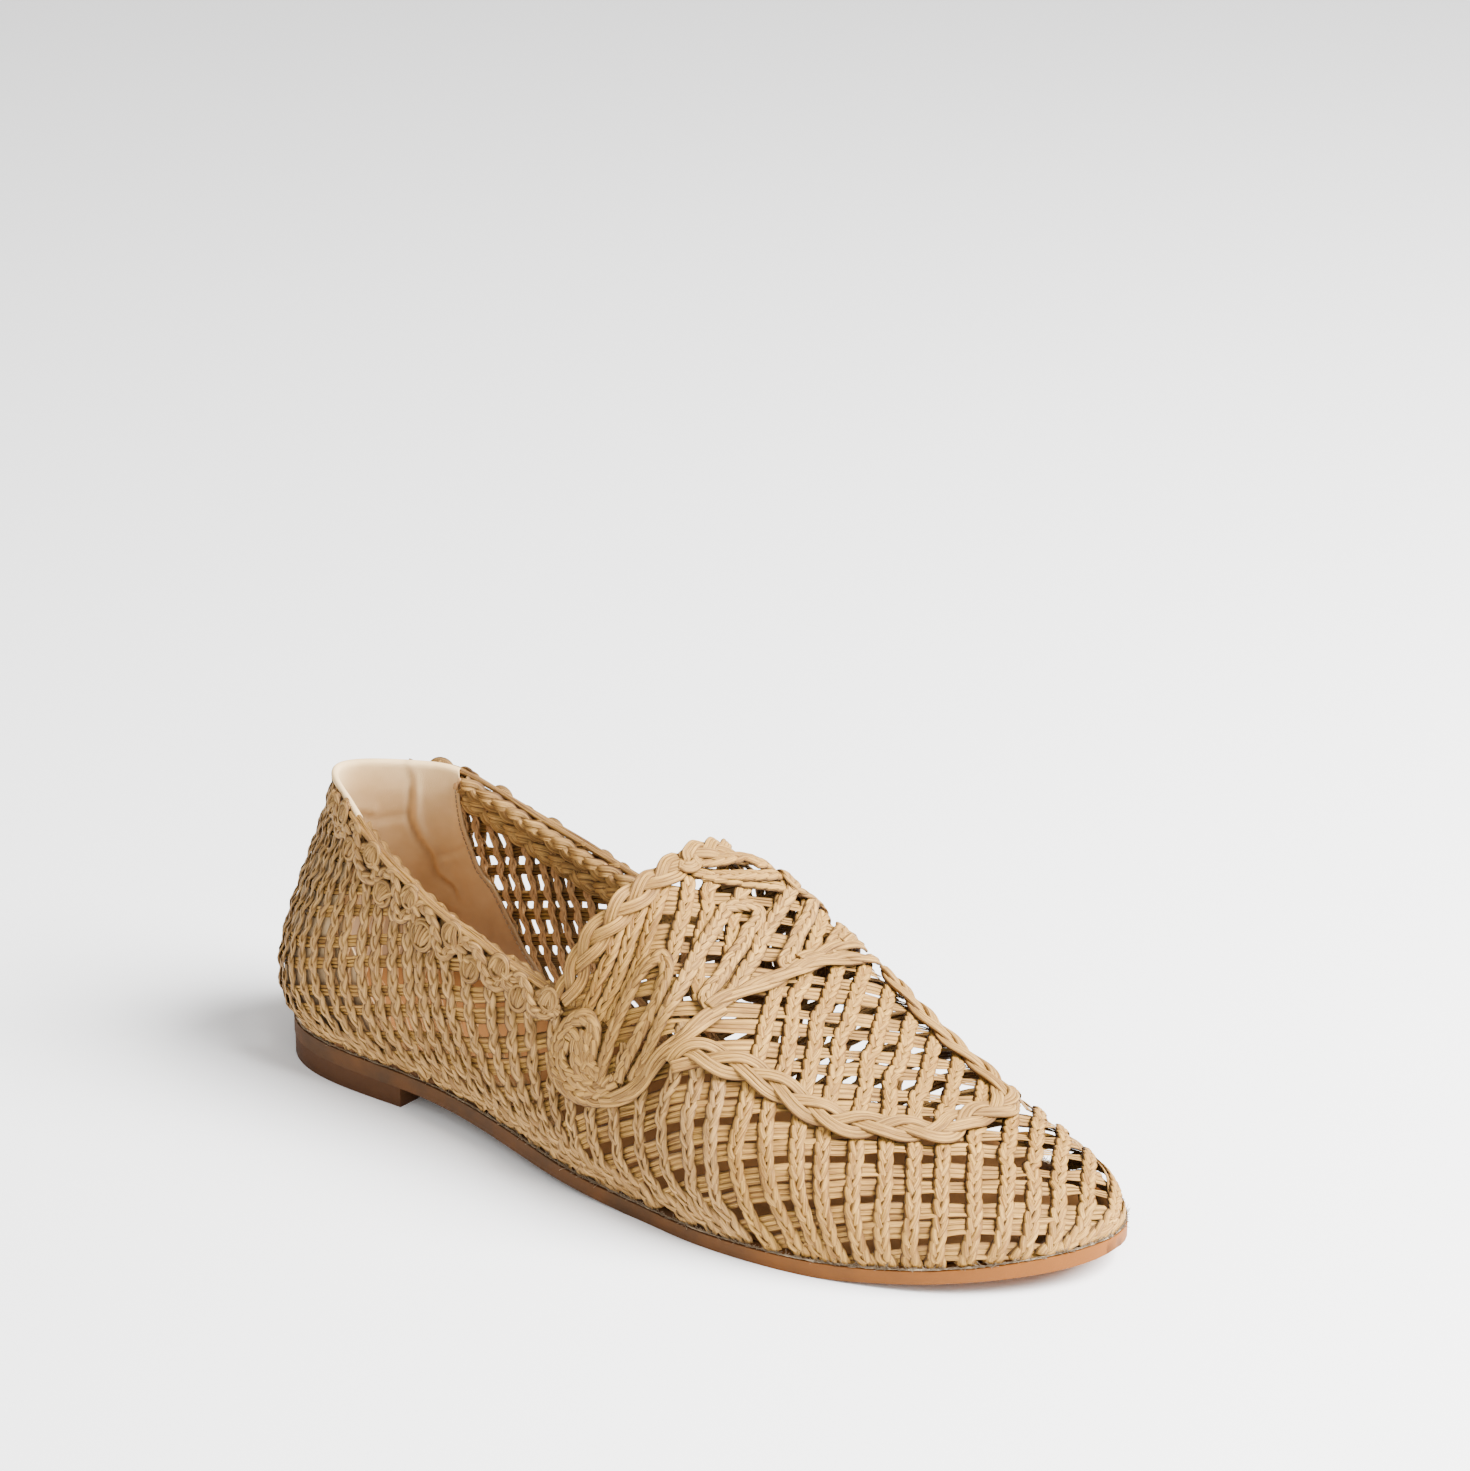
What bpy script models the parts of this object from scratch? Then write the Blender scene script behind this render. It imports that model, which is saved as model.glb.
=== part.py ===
"""Woven raffia moccasin for the right foot: a hollow woven upper, a raised apron seam,
a corded saddle strap, a plaited tongue edge, a crocheted collar trim, an insole, a thin
leather outsole with toe spring and arch, and a low heel block.

Sizes are in millimetres and become metres as each mesh is placed. +X points to the toe,
+Y to the inner side of the foot, +Z up. A station is a distance along the edge of the sole
from the back of the heel. A rise runs from 0 at the outer side of the sole edge, through 1
at the collar, the tongue edge or the ridge of the vamp, to 2 at the inner sole edge.
"""

import bmesh
import bpy
import numpy as np
from mathutils import Vector

MM = 0.001

WALL = 2.4
WALL_VALLEY = 1.5
JOINT_GAP = 0.3
SOLE_WELT = 0.8
HEEL_BREAST_STATION = 76.0
INSOLE_INSET = 3.2
INSOLE_THICKNESS = 1.6
ORIGIN_X = 128.8
ORIGIN_Y = 0.1

THROAT = 127.0
TONGUE_TIP = 166.0
TOE = 276.0
HEEL_TURN = 60.0
NOSE_TURN = 5.0
TOE_CLOSED = 264.0
TOE_NOSE_RADIUS = 9.0
TOE_NOSE_PASSES = 12
TOE_FOOT_ROWS = 3


def table(text):
    """A table of sections: the first line names the columns, each other line is a section."""
    lines = [line.split() for line in text.strip().splitlines()]
    return {name: np.array([float(row[k]) for row in lines[1:]]) for k, name in enumerate(lines[0])}


# The foot columns follow the edge where the wall meets the sole, the top columns follow the
# collar, the tongue edge and the ridge. Flare and lean are the wall's angles from upright
# at its foot and at its top, the pulls are the lengths of its two curve handles, and turn is
# how far its top handle swings to the toe.
LAST = table("""
station foot_x foot_out foot_in foot_z top_x top_out top_in top_z flare foot_pull lean top_pull turn
0     5.5   0.0  0.0  11.0   13.0   0.0  0.0  76.0   30  0.38  13  0.33   0
22   13.3 -20.0 19.5  10.8   26.0 -13.5 14.5  75.5   40  0.35   8  0.37   0
52   37.0 -29.5 28.0  10.6   40.3 -21.7 22.1  72.7   22  0.38   8  0.37   0
92   74.2 -30.6 26.0   9.5   72.0 -28.5 28.0  60.0   16  0.33   6  0.33   0
127 110.3 -37.9 27.5   7.3  113.7 -30.3 31.3  47.6   12  0.35  10  0.35  14
150 129.6 -40.7 32.6   5.2  122.0 -18.5 23.5  71.0   12  0.36  36  0.40  40
166 147.1 -41.7 37.7   4.2  124.5   2.5  2.5  76.0   12  0.36  74  0.46  34
184 165.4 -43.5 42.3   4.0  141.0   2.2  2.2  66.0   13  0.36  83  0.50  14
206 191.0 -41.7 43.5   4.1  172.5   2.4  2.4  48.5   15  0.36  90  0.52   0
231 214.5 -35.0 38.8   5.0  205.5   3.2  3.2  33.2   17  0.36  90  0.55   0
255 239.5 -20.5 29.0   7.9  234.0   4.4  4.4  24.4   17  0.36  88  0.54   0
276 256.0   6.4  6.4  10.6  252.6   6.2  6.2  18.6   12  0.40  68  0.42   0
""")

# How far a cord's foot lies ahead of its top, on the outer and on the inner side, and how
# late it sweeps forward on its way down. The last column is the underside of the sole.
WEAVE = table("""
station ahead_out ahead_in sweep sole_under
0     0   0  2.4   6.2
22   18  18  2.4   6.0
52   28  28  2.4   5.8
92   22  22  2.4   5.0
127  28  12  2.4   2.7
150  22   3  2.2   1.1
166  16  -3  1.8  -0.2
184  12  -8  1.5  -0.5
206  12 -13  1.3  -0.3
231  10 -14  1.2   1.2
255   6 -11  1.2   4.0
276   0   0  1.2   6.9
""")

# Raised cords of the upper: how many lie between two stations, how much of the pitch one
# cord takes, and whether the weave there is open.
CORDS = table("""
from_station to_station count cord_share open
0   127 11 1.00 0
127 166  6 1.00 0
166 276 15 0.46 1
""")

# Bands of the wall from the sole edge up: a gap band is cut through between the cords from
# the first to the last of its stations. The other bands are the cross strips.
BANDS = table("""
from_rise gap first_gap last_gap
0.00 0   0   0
0.07 1 176 260
0.17 0   0   0
0.25 1 176 260
0.35 0   0   0
0.43 1 176 256
0.53 0   0   0
0.60 0   0   0
0.67 1 197 255
0.77 0   0   0
0.85 1 197 255
0.95 0   0   0
1.00 0   0   0
""")

# The middle of the apron seam, once around from the outer side to the inner side.
SEAM = table("""
station rise
191.5 0.575
207   0.625
220   0.650
229   0.745
237   0.870
238   1.000
239   1.125
237   1.260
230   1.335
218   1.345
205   1.360
195   1.420
""")
SEAM_HALF_WIDTH = 3.2
SEAM_HEIGHT = 3.0
SEAM_CROSSINGS = 16
SEAM_PROFILE = (0.45, 0.85, 1.0, 0.85, 0.45)

# The rear and front edges of the saddle strap from its outer lobe to the ridge; the inner
# half mirrors them.
STRAP = table("""
rear_station rear_rise front_station front_rise
141   0.390  146   0.350
136   0.450  156   0.325
134   0.520  166   0.340
138   0.590  174   0.390
150   0.630  181   0.455
164   0.665  186.5 0.545
174.5 0.715  190.5 0.650
180.5 0.790  194   0.765
183   0.890  196.3 0.880
184   1.000  197.3 1.000
""")
STRAP_HEIGHT = 2.6
STRAP_LIFT = 0.5
STRAP_CORDS = 4
STRAP_STEPS = 32

# The plaited edge of the tongue from its outer foot to its tip; the inner half mirrors it.
TONGUE_EDGE = table("""
edge_station inner_station inner_rise
129 129.5 0.870
138 140   0.880
148 151   0.890
157 162   0.905
163 169   0.940
166 173   1.000
""")
TONGUE_EDGE_HEIGHT = 2.4
TONGUE_EDGE_LIFT = 0.5
TONGUE_EDGE_STEPS = 14
TONGUE_EDGE_PROFILE = (0.55, 1.0, 0.95, 0.5)

# The lower edge of the collar trim; at the back it is only a thin cord.
COLLAR = table("""
station lower_rise
0   0.945
16  0.940
26  0.850
45  0.830
70  0.775
93  0.720
108 0.740
126 0.780
""")
COLLAR_HEIGHT = 2.2
COLLAR_KNOTS = 21
COLLAR_PROFILE = (0.5, 1.0, 0.9, 0.6)


def spline(knots, values, loop=False):
    """A cubic curve through the values, straight at its ends or running on around a loop."""
    knots = np.asarray(knots, float)
    values = np.asarray(values, float)
    span = np.diff(knots)
    slope = np.diff(values) / span
    last = len(knots) - 1
    system = np.eye(last + 1)
    load = np.zeros(last + 1)
    for k in range(1, last):
        system[k, k - 1:k + 2] = span[k - 1], 2 * (span[k - 1] + span[k]), span[k]
        load[k] = 6 * (slope[k] - slope[k - 1])
    if loop:
        system[0, last] = -1
        system[last] = 0
        system[last, [0, 1]] = 2 * span[0], span[0]
        system[last, [last, last - 1]] += 2 * span[-1], span[-1]
        load[last] = 6 * (slope[0] - slope[-1])
    bend = np.linalg.solve(system, load)

    def at(x):
        x = np.asarray(x, float)
        k = np.clip(np.searchsorted(knots, x) - 1, 0, last - 1)
        b = (x - knots[k]) / span[k]
        a = 1 - b
        curve = (a**3 - a) * bend[k] + (b**3 - b) * bend[k + 1]
        return a * values[k] + b * values[k + 1] + curve * span[k] ** 2 / 6

    return at


def steady(knots, values):
    """A smooth curve through the values that never swings past them between two knots."""
    knots = np.asarray(knots, float)
    values = np.asarray(values, float)
    span = np.diff(knots)
    slope = np.diff(values) / span
    before, after = slope[:-1], slope[1:]
    same_way = before * after > 0
    total = np.where(same_way, before + after, 1.0)
    tilt = np.concatenate([[0.0], np.where(same_way, 2 * before * after / total, 0.0), [0.0]])

    def at(x):
        x = np.asarray(x, float)
        k = np.clip(np.searchsorted(knots, x) - 1, 0, len(knots) - 2)
        b = np.clip((x - knots[k]) / span[k], 0, 1)
        blend = b**2 * (3 - 2 * b)
        swing = b * (1 - b) * ((1 - b) * tilt[k] - b * tilt[k + 1]) * span[k]
        return values[k] + (values[k + 1] - values[k]) * blend + swing

    return at


def both_sides(outer, inner):
    """Values from the toe back along the outer side, then forward along the inner side."""
    return np.concatenate([outer[::-1][:-1], inner])


STATION = LAST["station"]
AROUND = both_sides(-STATION, STATION)
FOOT = [
    spline(AROUND, both_sides(LAST["foot_x"], LAST["foot_x"]), loop=True),
    spline(AROUND, both_sides(LAST["foot_out"], LAST["foot_in"]), loop=True),
    spline(AROUND, both_sides(LAST["foot_z"], LAST["foot_z"]), loop=True),
]


def top_curve(rows, mirrored_first):
    """A spline of the top points of some sections, on both sides of the shoe."""
    knots = STATION[rows]
    x, z = LAST["top_x"][rows], LAST["top_z"][rows]
    outer, inner = LAST["top_out"][rows], LAST["top_in"][rows]
    if mirrored_first:
        ends = [both_sides(-knots, knots), both_sides(x, x), both_sides(outer, inner), both_sides(z, z)]
    else:
        turn = knots[-1] - knots
        ends = [np.append(-turn, turn[:-1][::-1])]
        ends += [np.append(a, b[:-1][::-1]) for a, b in ((x, x), (outer, inner), (z, z))]
    return [spline(ends[0], values) for values in ends[1:]]


COLLAR_ROWS = STATION <= THROAT
TONGUE_ROWS = (STATION >= THROAT) & (STATION <= TONGUE_TIP)
RIDGE_ROWS = STATION >= TONGUE_TIP
COLLAR_CURVE = top_curve(COLLAR_ROWS, True)
TONGUE_CURVE = top_curve(TONGUE_ROWS, False)
RIDGE_CURVE = [
    spline(STATION[RIDGE_ROWS], LAST[name][RIDGE_ROWS]) for name in ("top_x", "top_out", "top_z")
]
SHAPE = {
    name: steady(AROUND, both_sides(LAST[name], LAST[name]))
    for name in ("flare", "foot_pull", "lean", "top_pull", "turn")
}
AHEAD_OUT = steady(WEAVE["station"], WEAVE["ahead_out"])
AHEAD_IN = steady(WEAVE["station"], WEAVE["ahead_in"])
SWEEP = steady(WEAVE["station"], WEAVE["sweep"])
SOLE_UNDER = spline(WEAVE["station"], WEAVE["sole_under"])


def foot(side):
    """Points of the sole edge at signed stations, negative on the outer side."""
    return np.stack([curve(side) for curve in FOOT], -1)


def outward(side):
    """The level direction out of the sole edge."""
    along = foot(side + 0.5) - foot(side - 0.5)
    normal = np.stack([-along[..., 1], along[..., 0]], -1)
    return normal / np.linalg.norm(normal, axis=-1, keepdims=True)


def top(side):
    """Points of the collar, the tongue edge and the ridge at signed stations."""
    reach = np.abs(side)
    collar = np.stack([curve(np.clip(side, -THROAT, THROAT)) for curve in COLLAR_CURVE], -1)
    turn = np.sign(side) * np.clip(TONGUE_TIP - reach, 0, TONGUE_TIP - THROAT)
    tongue = np.stack([curve(turn) for curve in TONGUE_CURVE], -1)
    ridge = np.stack([curve(np.maximum(reach, TONGUE_TIP)) for curve in RIDGE_CURVE], -1)
    reach = reach[..., None]
    return np.where(reach <= THROAT, collar, np.where(reach <= TONGUE_TIP, tongue, ridge))


TOP_TIP = top(np.array(TOE))


def last_surface(side, height):
    """The outer face of the weave: a curve with two handles from the sole edge to the top."""
    low, high = foot(side), top(side)
    out = outward(side)
    turn = np.radians(SHAPE["turn"](side))
    across = np.stack([np.sin(turn), np.where(side < 0, -1.0, 1.0) * np.cos(turn)], -1)
    reach = np.abs(side)
    turned = np.clip((reach - HEEL_TURN) / HEEL_TURN, 0, 1) * np.clip((TOE - reach) / NOSE_TURN, 0, 1)
    out_top = out + (across - out) * turned[..., None]
    out_top /= np.linalg.norm(out_top, axis=-1, keepdims=True)
    length = np.linalg.norm(high - low, axis=-1)[..., None]
    flare = np.radians(SHAPE["flare"](side))[..., None]
    lean = np.radians(SHAPE["lean"](side))[..., None]
    up = np.concatenate([out * np.sin(flare), np.cos(flare)], -1)
    down = np.concatenate([out_top * np.sin(lean), -np.cos(lean)], -1)
    low_handle = low + SHAPE["foot_pull"](side)[..., None] * length * up
    high_handle = high + SHAPE["top_pull"](side)[..., None] * length * down
    t = height[..., None]
    curve = (1 - t) ** 3 * low + 3 * (1 - t) ** 2 * t * low_handle
    return curve + 3 * (1 - t) * t**2 * high_handle + t**3 * high


def normal_one_side(side, height):
    side = np.clip(side, -TOE + 0.5, TOE - 0.5)
    height = np.clip(height, 0.004, 0.996)
    along = last_surface(side + 0.4, height) - last_surface(side - 0.4, height)
    upward = last_surface(side, height + 0.003) - last_surface(side, height - 0.003)
    normal = np.cross(upward, along)
    return normal / np.linalg.norm(normal, axis=-1, keepdims=True)


def skin(station, rise, lift=0.0):
    """Points at a lift off the outer face of the weave, at stations and rises."""
    station, rise = np.broadcast_arrays(np.asarray(station, float), np.asarray(rise, float))
    side = np.where(rise > 1, station, -station)
    height = np.where(rise > 1, 2 - rise, rise)
    normal = normal_one_side(side, height)
    shared = ((height > 0.999) & (station >= TONGUE_TIP)) | (station > TOE - 0.5)
    other = normal_one_side(-side, height)
    normal = np.where(shared[..., None], normal + other, normal)
    normal /= np.linalg.norm(normal, axis=-1, keepdims=True)
    return last_surface(side, height) + lift * normal


def on_cord(station, rise):
    """The station that a cord has reached at a rise, from the station of its top."""
    height = np.where(rise > 1, 2 - rise, rise)
    ahead = np.where(rise > 1, AHEAD_IN(station), AHEAD_OUT(station))
    return station + ahead * (1 - height) ** SWEEP(station)


def beside(station, rise, offset):
    """Stations and rises at an offset in millimetres to the left of a path on the skin."""
    here = skin(station, rise)
    along = np.gradient(here, axis=0)
    per_station = skin(station + 0.5, rise) - skin(station - 0.5, rise)
    per_rise = (skin(station, rise + 0.005) - skin(station, rise - 0.005)) * 100
    normal = np.cross(per_rise, per_station)
    left = np.cross(normal, along)
    left *= (offset / np.linalg.norm(left, axis=-1))[:, None]
    moves = [
        np.linalg.lstsq(np.stack(pair, -1), move, rcond=None)[0]
        for *pair, move in zip(per_station, per_rise, left)
    ]
    moves = np.array(moves)
    return station + moves[:, 0], rise + moves[:, 1]


def grid(columns, rows, place):
    """A grid whose corners are placed by a function of their column and row numbers."""
    bm = bmesh.new()
    bmesh.ops.create_grid(bm, x_segments=columns, y_segments=rows, size=1.0)
    column = np.array([round((v.co.x + 1) / 2 * columns) for v in bm.verts])
    row = np.array([round((v.co.y + 1) / 2 * rows) for v in bm.verts])
    points = place(column, row)
    column_mark = bm.verts.layers.int.new("column")
    row_mark = bm.verts.layers.int.new("row")
    for vert, point, i, j in zip(bm.verts, points, column, row):
        vert.co = (point - (ORIGIN_X, ORIGIN_Y, 0)) * MM
        vert[column_mark] = int(i)
        vert[row_mark] = int(j)
    return bm


def face_out(bm):
    """Turn an open surface so that its faces look away from the middle of the shoe."""
    bmesh.ops.remove_doubles(bm, verts=bm.verts, dist=0.1 * MM)
    bmesh.ops.recalc_face_normals(bm, faces=bm.faces)
    looks = 0.0
    for face in bm.faces:
        spot = face.calc_center_median()
        spot.x *= 0.3
        spot.z -= 0.02
        looks += face.normal.dot(spot) * face.calc_area()
    if looks < 0:
        bmesh.ops.reverse_faces(bm, faces=bm.faces)


def set_raise(bm, value):
    """Store how thick the wall is at each corner, as a share of its full thickness."""
    weight = bm.verts.layers.deform.verify()
    column_mark = bm.verts.layers.int["column"]
    row_mark = bm.verts.layers.int["row"]
    for vert in bm.verts:
        vert[weight][0] = float(value(vert[column_mark], vert[row_mark]))


def finish(bm, name, material, thickness=None, round_edge=None):
    mesh = bpy.data.meshes.new(name)
    bm.to_mesh(mesh)
    bm.free()
    piece = bpy.data.objects.new(name, mesh)
    PARTS.objects.link(piece)
    mesh.materials.append(material)
    if thickness:
        piece.vertex_groups.new(name="raise")
        wall = piece.modifiers.new("wall", "SOLIDIFY")
        wall.thickness = thickness * MM
        wall.offset = 1.0
        wall.vertex_group = "raise"
        wall.use_quality_normals = True
    if round_edge:
        edge = piece.modifiers.new("edge", "BEVEL")
        edge.width = round_edge * MM
        edge.segments = 1
        edge.limit_method = "ANGLE"
        edge.angle_limit = np.radians(50)
    mesh.shade_smooth()
    mesh.set_sharp_from_angle(angle=np.radians(40))
    return piece


def material(name, colour, roughness):
    made = bpy.data.materials.new(name)
    made.use_nodes = True
    shader = made.node_tree.nodes["Principled BSDF"]
    shader.inputs["Base Color"].default_value = (*colour, 1.0)
    shader.inputs["Roughness"].default_value = roughness
    shader.inputs["Metallic"].default_value = 0.0
    return made


def make_upper(raffia):
    """One woven wall, open underneath and at the collar, with cords raised and gaps cut."""
    stations, crown, in_gap = [], [], []
    for start, stop, count, share, open_weave in zip(*CORDS.values()):
        pitch = (stop - start) / count
        for k in range(int(count)):
            cord = start + k * pitch
            if open_weave:
                stations += [cord, cord + pitch * share / 2, cord + pitch * (1 - share / 2)]
                crown += [True, False, False]
                in_gap += [False, True, False]
            else:
                stations += [cord, cord + pitch / 2]
                crown += [True, False]
                in_gap += [False, False]
    stations = np.array(stations + [TOE])
    crown = np.array(crown + [True])
    half = len(stations) - 1
    rises = BANDS["from_rise"]

    def place(column, row):
        station = stations[np.abs(column - half)]
        rise = np.where(column < half, rises[row], 2 - rises[row])
        rise = np.where((column >= half) & (rises[row] == 1), 1.000001, rise)
        return skin(np.minimum(on_cord(station, rise), TOE), rise, -WALL)

    bm = grid(2 * half, len(rises) - 1, place)
    column_mark = bm.verts.layers.int["column"]
    row_mark = bm.verts.layers.int["row"]
    gaps = []
    for face in bm.faces:
        first = min(vert[column_mark] for vert in face.verts)
        low = min(vert[row_mark] for vert in face.verts)
        cell = first - half if first >= half else half - 1 - first
        inside = BANDS["first_gap"][low] < stations[cell] < BANDS["last_gap"][low]
        if BANDS["gap"][low] and in_gap[cell] and inside:
            gaps.append(face)
    full_wall = crown | (stations > TOE_CLOSED)
    set_raise(bm, lambda i, j: 1.0 if full_wall[abs(i - half)] else WALL_VALLEY / WALL)
    bmesh.ops.delete(bm, geom=gaps, context="FACES")
    face_out(bm)
    round_nose(bm)
    return finish(bm, "upper", raffia, thickness=WALL)


def round_nose(bm):
    """Even out the tip of the toe, where the ridge and both sides run together."""
    tip = Vector(((TOP_TIP - (ORIGIN_X, ORIGIN_Y, 0)) * MM).tolist())
    row_mark = bm.verts.layers.int["row"]
    nose = [
        vert for vert in bm.verts
        if vert[row_mark] > TOE_FOOT_ROWS and (vert.co - tip).length < TOE_NOSE_RADIUS * MM
    ]
    for _ in range(TOE_NOSE_PASSES):
        bmesh.ops.smooth_vert(
            bm, verts=nose, factor=0.5, use_axis_x=True, use_axis_y=True, use_axis_z=True)


def make_apron_seam(raffia):
    """The plait that joins the apron to the sides, a raised band around the vamp."""
    knots = np.linspace(0, 1, len(SEAM["station"]))
    along = np.linspace(0, 1, 2 * SEAM_CROSSINGS + 1)
    station, rise = spline(knots, SEAM["station"])(along), spline(knots, SEAM["rise"])(along)
    lines = [beside(station, rise, SEAM_HALF_WIDTH * k) for k in (-1, -0.5, 0, 0.5, 1)]

    def place(column, row):
        path = np.array([[lines[j][0][i], lines[j][1][i]] for i, j in zip(column, row)])
        return skin(path[:, 0], path[:, 1], JOINT_GAP)

    def swell(i, j):
        knot = 0.88 + 0.12 * np.cos(np.pi * i + np.pi * (j - 2) / 4)
        return SEAM_PROFILE[j] * knot

    bm = grid(len(along) - 1, 4, place)
    set_raise(bm, swell)
    face_out(bm)
    return finish(bm, "apron_seam", raffia, thickness=SEAM_HEIGHT)


def make_saddle_strap(raffia):
    """The strap over the instep, of raised cords side by side, with a round lobe at each end."""
    half = len(STRAP["rear_rise"])
    knots = np.arange(2 * half - 1)
    along = np.linspace(0, knots[-1], STRAP_STEPS + 1)
    edges = {}
    for name, column in STRAP.items():
        inner = column if name.endswith("station") else 2 - column
        edges[name] = spline(knots, np.append(column, inner[-2::-1]))(along)

    def place(column, row):
        share = row / (2 * STRAP_CORDS)
        edge = {name: line[column] for name, line in edges.items()}
        station = edge["rear_station"] + (edge["front_station"] - edge["rear_station"]) * share
        rise = edge["rear_rise"] + (edge["front_rise"] - edge["rear_rise"]) * share
        return skin(station, rise, STRAP_LIFT)

    bm = grid(STRAP_STEPS, 2 * STRAP_CORDS, place)
    set_raise(bm, lambda i, j: 1.0 if j % 2 else 0.6)
    face_out(bm)
    return finish(bm, "saddle_strap", raffia, thickness=STRAP_HEIGHT)


def make_tongue_edge(raffia):
    """The plait along the edge of the tongue."""
    knots = np.linspace(0, 1, len(TONGUE_EDGE["edge_station"]))
    steps = TONGUE_EDGE_STEPS
    half = np.linspace(0, 1, steps + 1)
    edge, inner, inner_rise = (spline(knots, column)(half) for column in TONGUE_EDGE.values())

    def place(column, row):
        k = np.minimum(column, 2 * steps - column)
        share = row / 3
        station = edge[k] + (inner[k] - edge[k]) * share
        rise = 1 + (inner_rise[k] - 1) * share
        on_inner_side = column > steps
        rise = np.where(on_inner_side, np.maximum(2 - rise, 1.000001), rise)
        return skin(station, rise, TONGUE_EDGE_LIFT)

    bm = grid(2 * steps, 3, place)
    set_raise(bm, lambda i, j: TONGUE_EDGE_PROFILE[j] * (1.0 if i % 2 else 0.85))
    face_out(bm)
    return finish(bm, "tongue_braid", raffia, thickness=TONGUE_EDGE_HEIGHT)


def make_collar_trim(raffia):
    """The crocheted trim around the collar, a thin cord at the back and a knotted band beside."""
    reach = COLLAR["station"][-1]
    lower = spline(both_sides(-COLLAR["station"], COLLAR["station"]),
                   both_sides(COLLAR["lower_rise"], COLLAR["lower_rise"]))
    sides = np.linspace(-reach, reach, 2 * COLLAR_KNOTS + 1)

    def place(column, row):
        side = sides[column]
        low = lower(side)
        height = low + (1 - low) * row / 3
        rise = np.where(side > 0, 2 - height, height)
        rise = np.where((side > 0) & (row == 3), 1.000001, rise)
        return skin(np.abs(side), rise, JOINT_GAP)

    bm = grid(2 * COLLAR_KNOTS, 3, place)
    set_raise(bm, lambda i, j: COLLAR_PROFILE[j] * (1.0 if i % 2 else 0.8))
    face_out(bm)
    return finish(bm, "collar_trim", raffia, thickness=COLLAR_HEIGHT)


def slab(stations, across, margin, top_height, under_height, name, colour, round_edge):
    """A plate inside the sole edge's outline, between two heights given at each station."""
    def place(column, row):
        station = stations[column]
        outer = foot(-station) + margin * np.pad(outward(-station), ((0, 0), (0, 1)))
        inner = foot(station) + margin * np.pad(outward(station), ((0, 0), (0, 1)))
        point = outer + (inner - outer) * (row / across)[:, None]
        point[:, 2] = top_height(station)
        return point

    bm = grid(len(stations) - 1, across, place)
    column_mark = bm.verts.layers.int["column"]
    bmesh.ops.remove_doubles(bm, verts=bm.verts, dist=0.01 * MM)
    made = bmesh.ops.extrude_face_region(bm, geom=bm.faces[:])
    for vert in made["geom"]:
        if isinstance(vert, bmesh.types.BMVert):
            vert.co.z = float(under_height(stations[vert[column_mark]])) * MM
    bmesh.ops.recalc_face_normals(bm, faces=bm.faces)
    return finish(bm, name, colour, round_edge=round_edge)


def edge_height(station):
    return FOOT[2](station)


def sole_top(station):
    return edge_height(station) - JOINT_GAP


def sole_under(station):
    return np.maximum(SOLE_UNDER(station), 0.0)


for old in list(bpy.data.objects):
    bpy.data.objects.remove(old)
PARTS = bpy.data.collections.new("woven_moccasin")
bpy.context.scene.collection.children.link(PARTS)

RAFFIA = material("raffia", (0.58, 0.40, 0.22), 0.62)
RAFFIA_TRIM = material("raffia_trim", (0.60, 0.42, 0.24), 0.6)
INSOLE_LEATHER = material("insole_leather", (0.30, 0.16, 0.08), 0.55)
SOLE_LEATHER = material("sole_leather", (0.36, 0.19, 0.11), 0.5)
HEEL_LEATHER = material("heel_leather", (0.30, 0.16, 0.09), 0.5)

SOLE_STATIONS = np.linspace(0, TOE, 34)
make_upper(RAFFIA)
make_apron_seam(RAFFIA_TRIM)
make_saddle_strap(RAFFIA_TRIM)
make_tongue_edge(RAFFIA_TRIM)
make_collar_trim(RAFFIA_TRIM)
slab(SOLE_STATIONS, 2, SOLE_WELT, sole_top, sole_under, "outsole", SOLE_LEATHER, 0.6)
slab(np.linspace(0, HEEL_BREAST_STATION, 15), 2, SOLE_WELT - 0.2,
     lambda station: sole_under(station) - JOINT_GAP, lambda station: 0.0,
     "heel_block", HEEL_LEATHER, 0.5)
slab(SOLE_STATIONS, 2, -INSOLE_INSET,
     lambda station: edge_height(station) + INSOLE_THICKNESS, edge_height,
     "insole", INSOLE_LEATHER, None)
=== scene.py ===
"""Looks of the woven raffia moccasin: plaited cords and flat strips of the weave, the apron
seam, the saddle strap, the tongue braid, the crocheted collar, the suede heel lining and the
leather sole, all laid on the same last as the solids.

Sizes are in millimetres and become metres as each mesh is placed. A station is a distance
along the sole edge from the back of the heel. A rise runs from 0 at the outer sole edge,
through 1 at the collar, the tongue edge or the ridge, to 2 at the inner sole edge.
"""

import math
from collections import defaultdict

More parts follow.
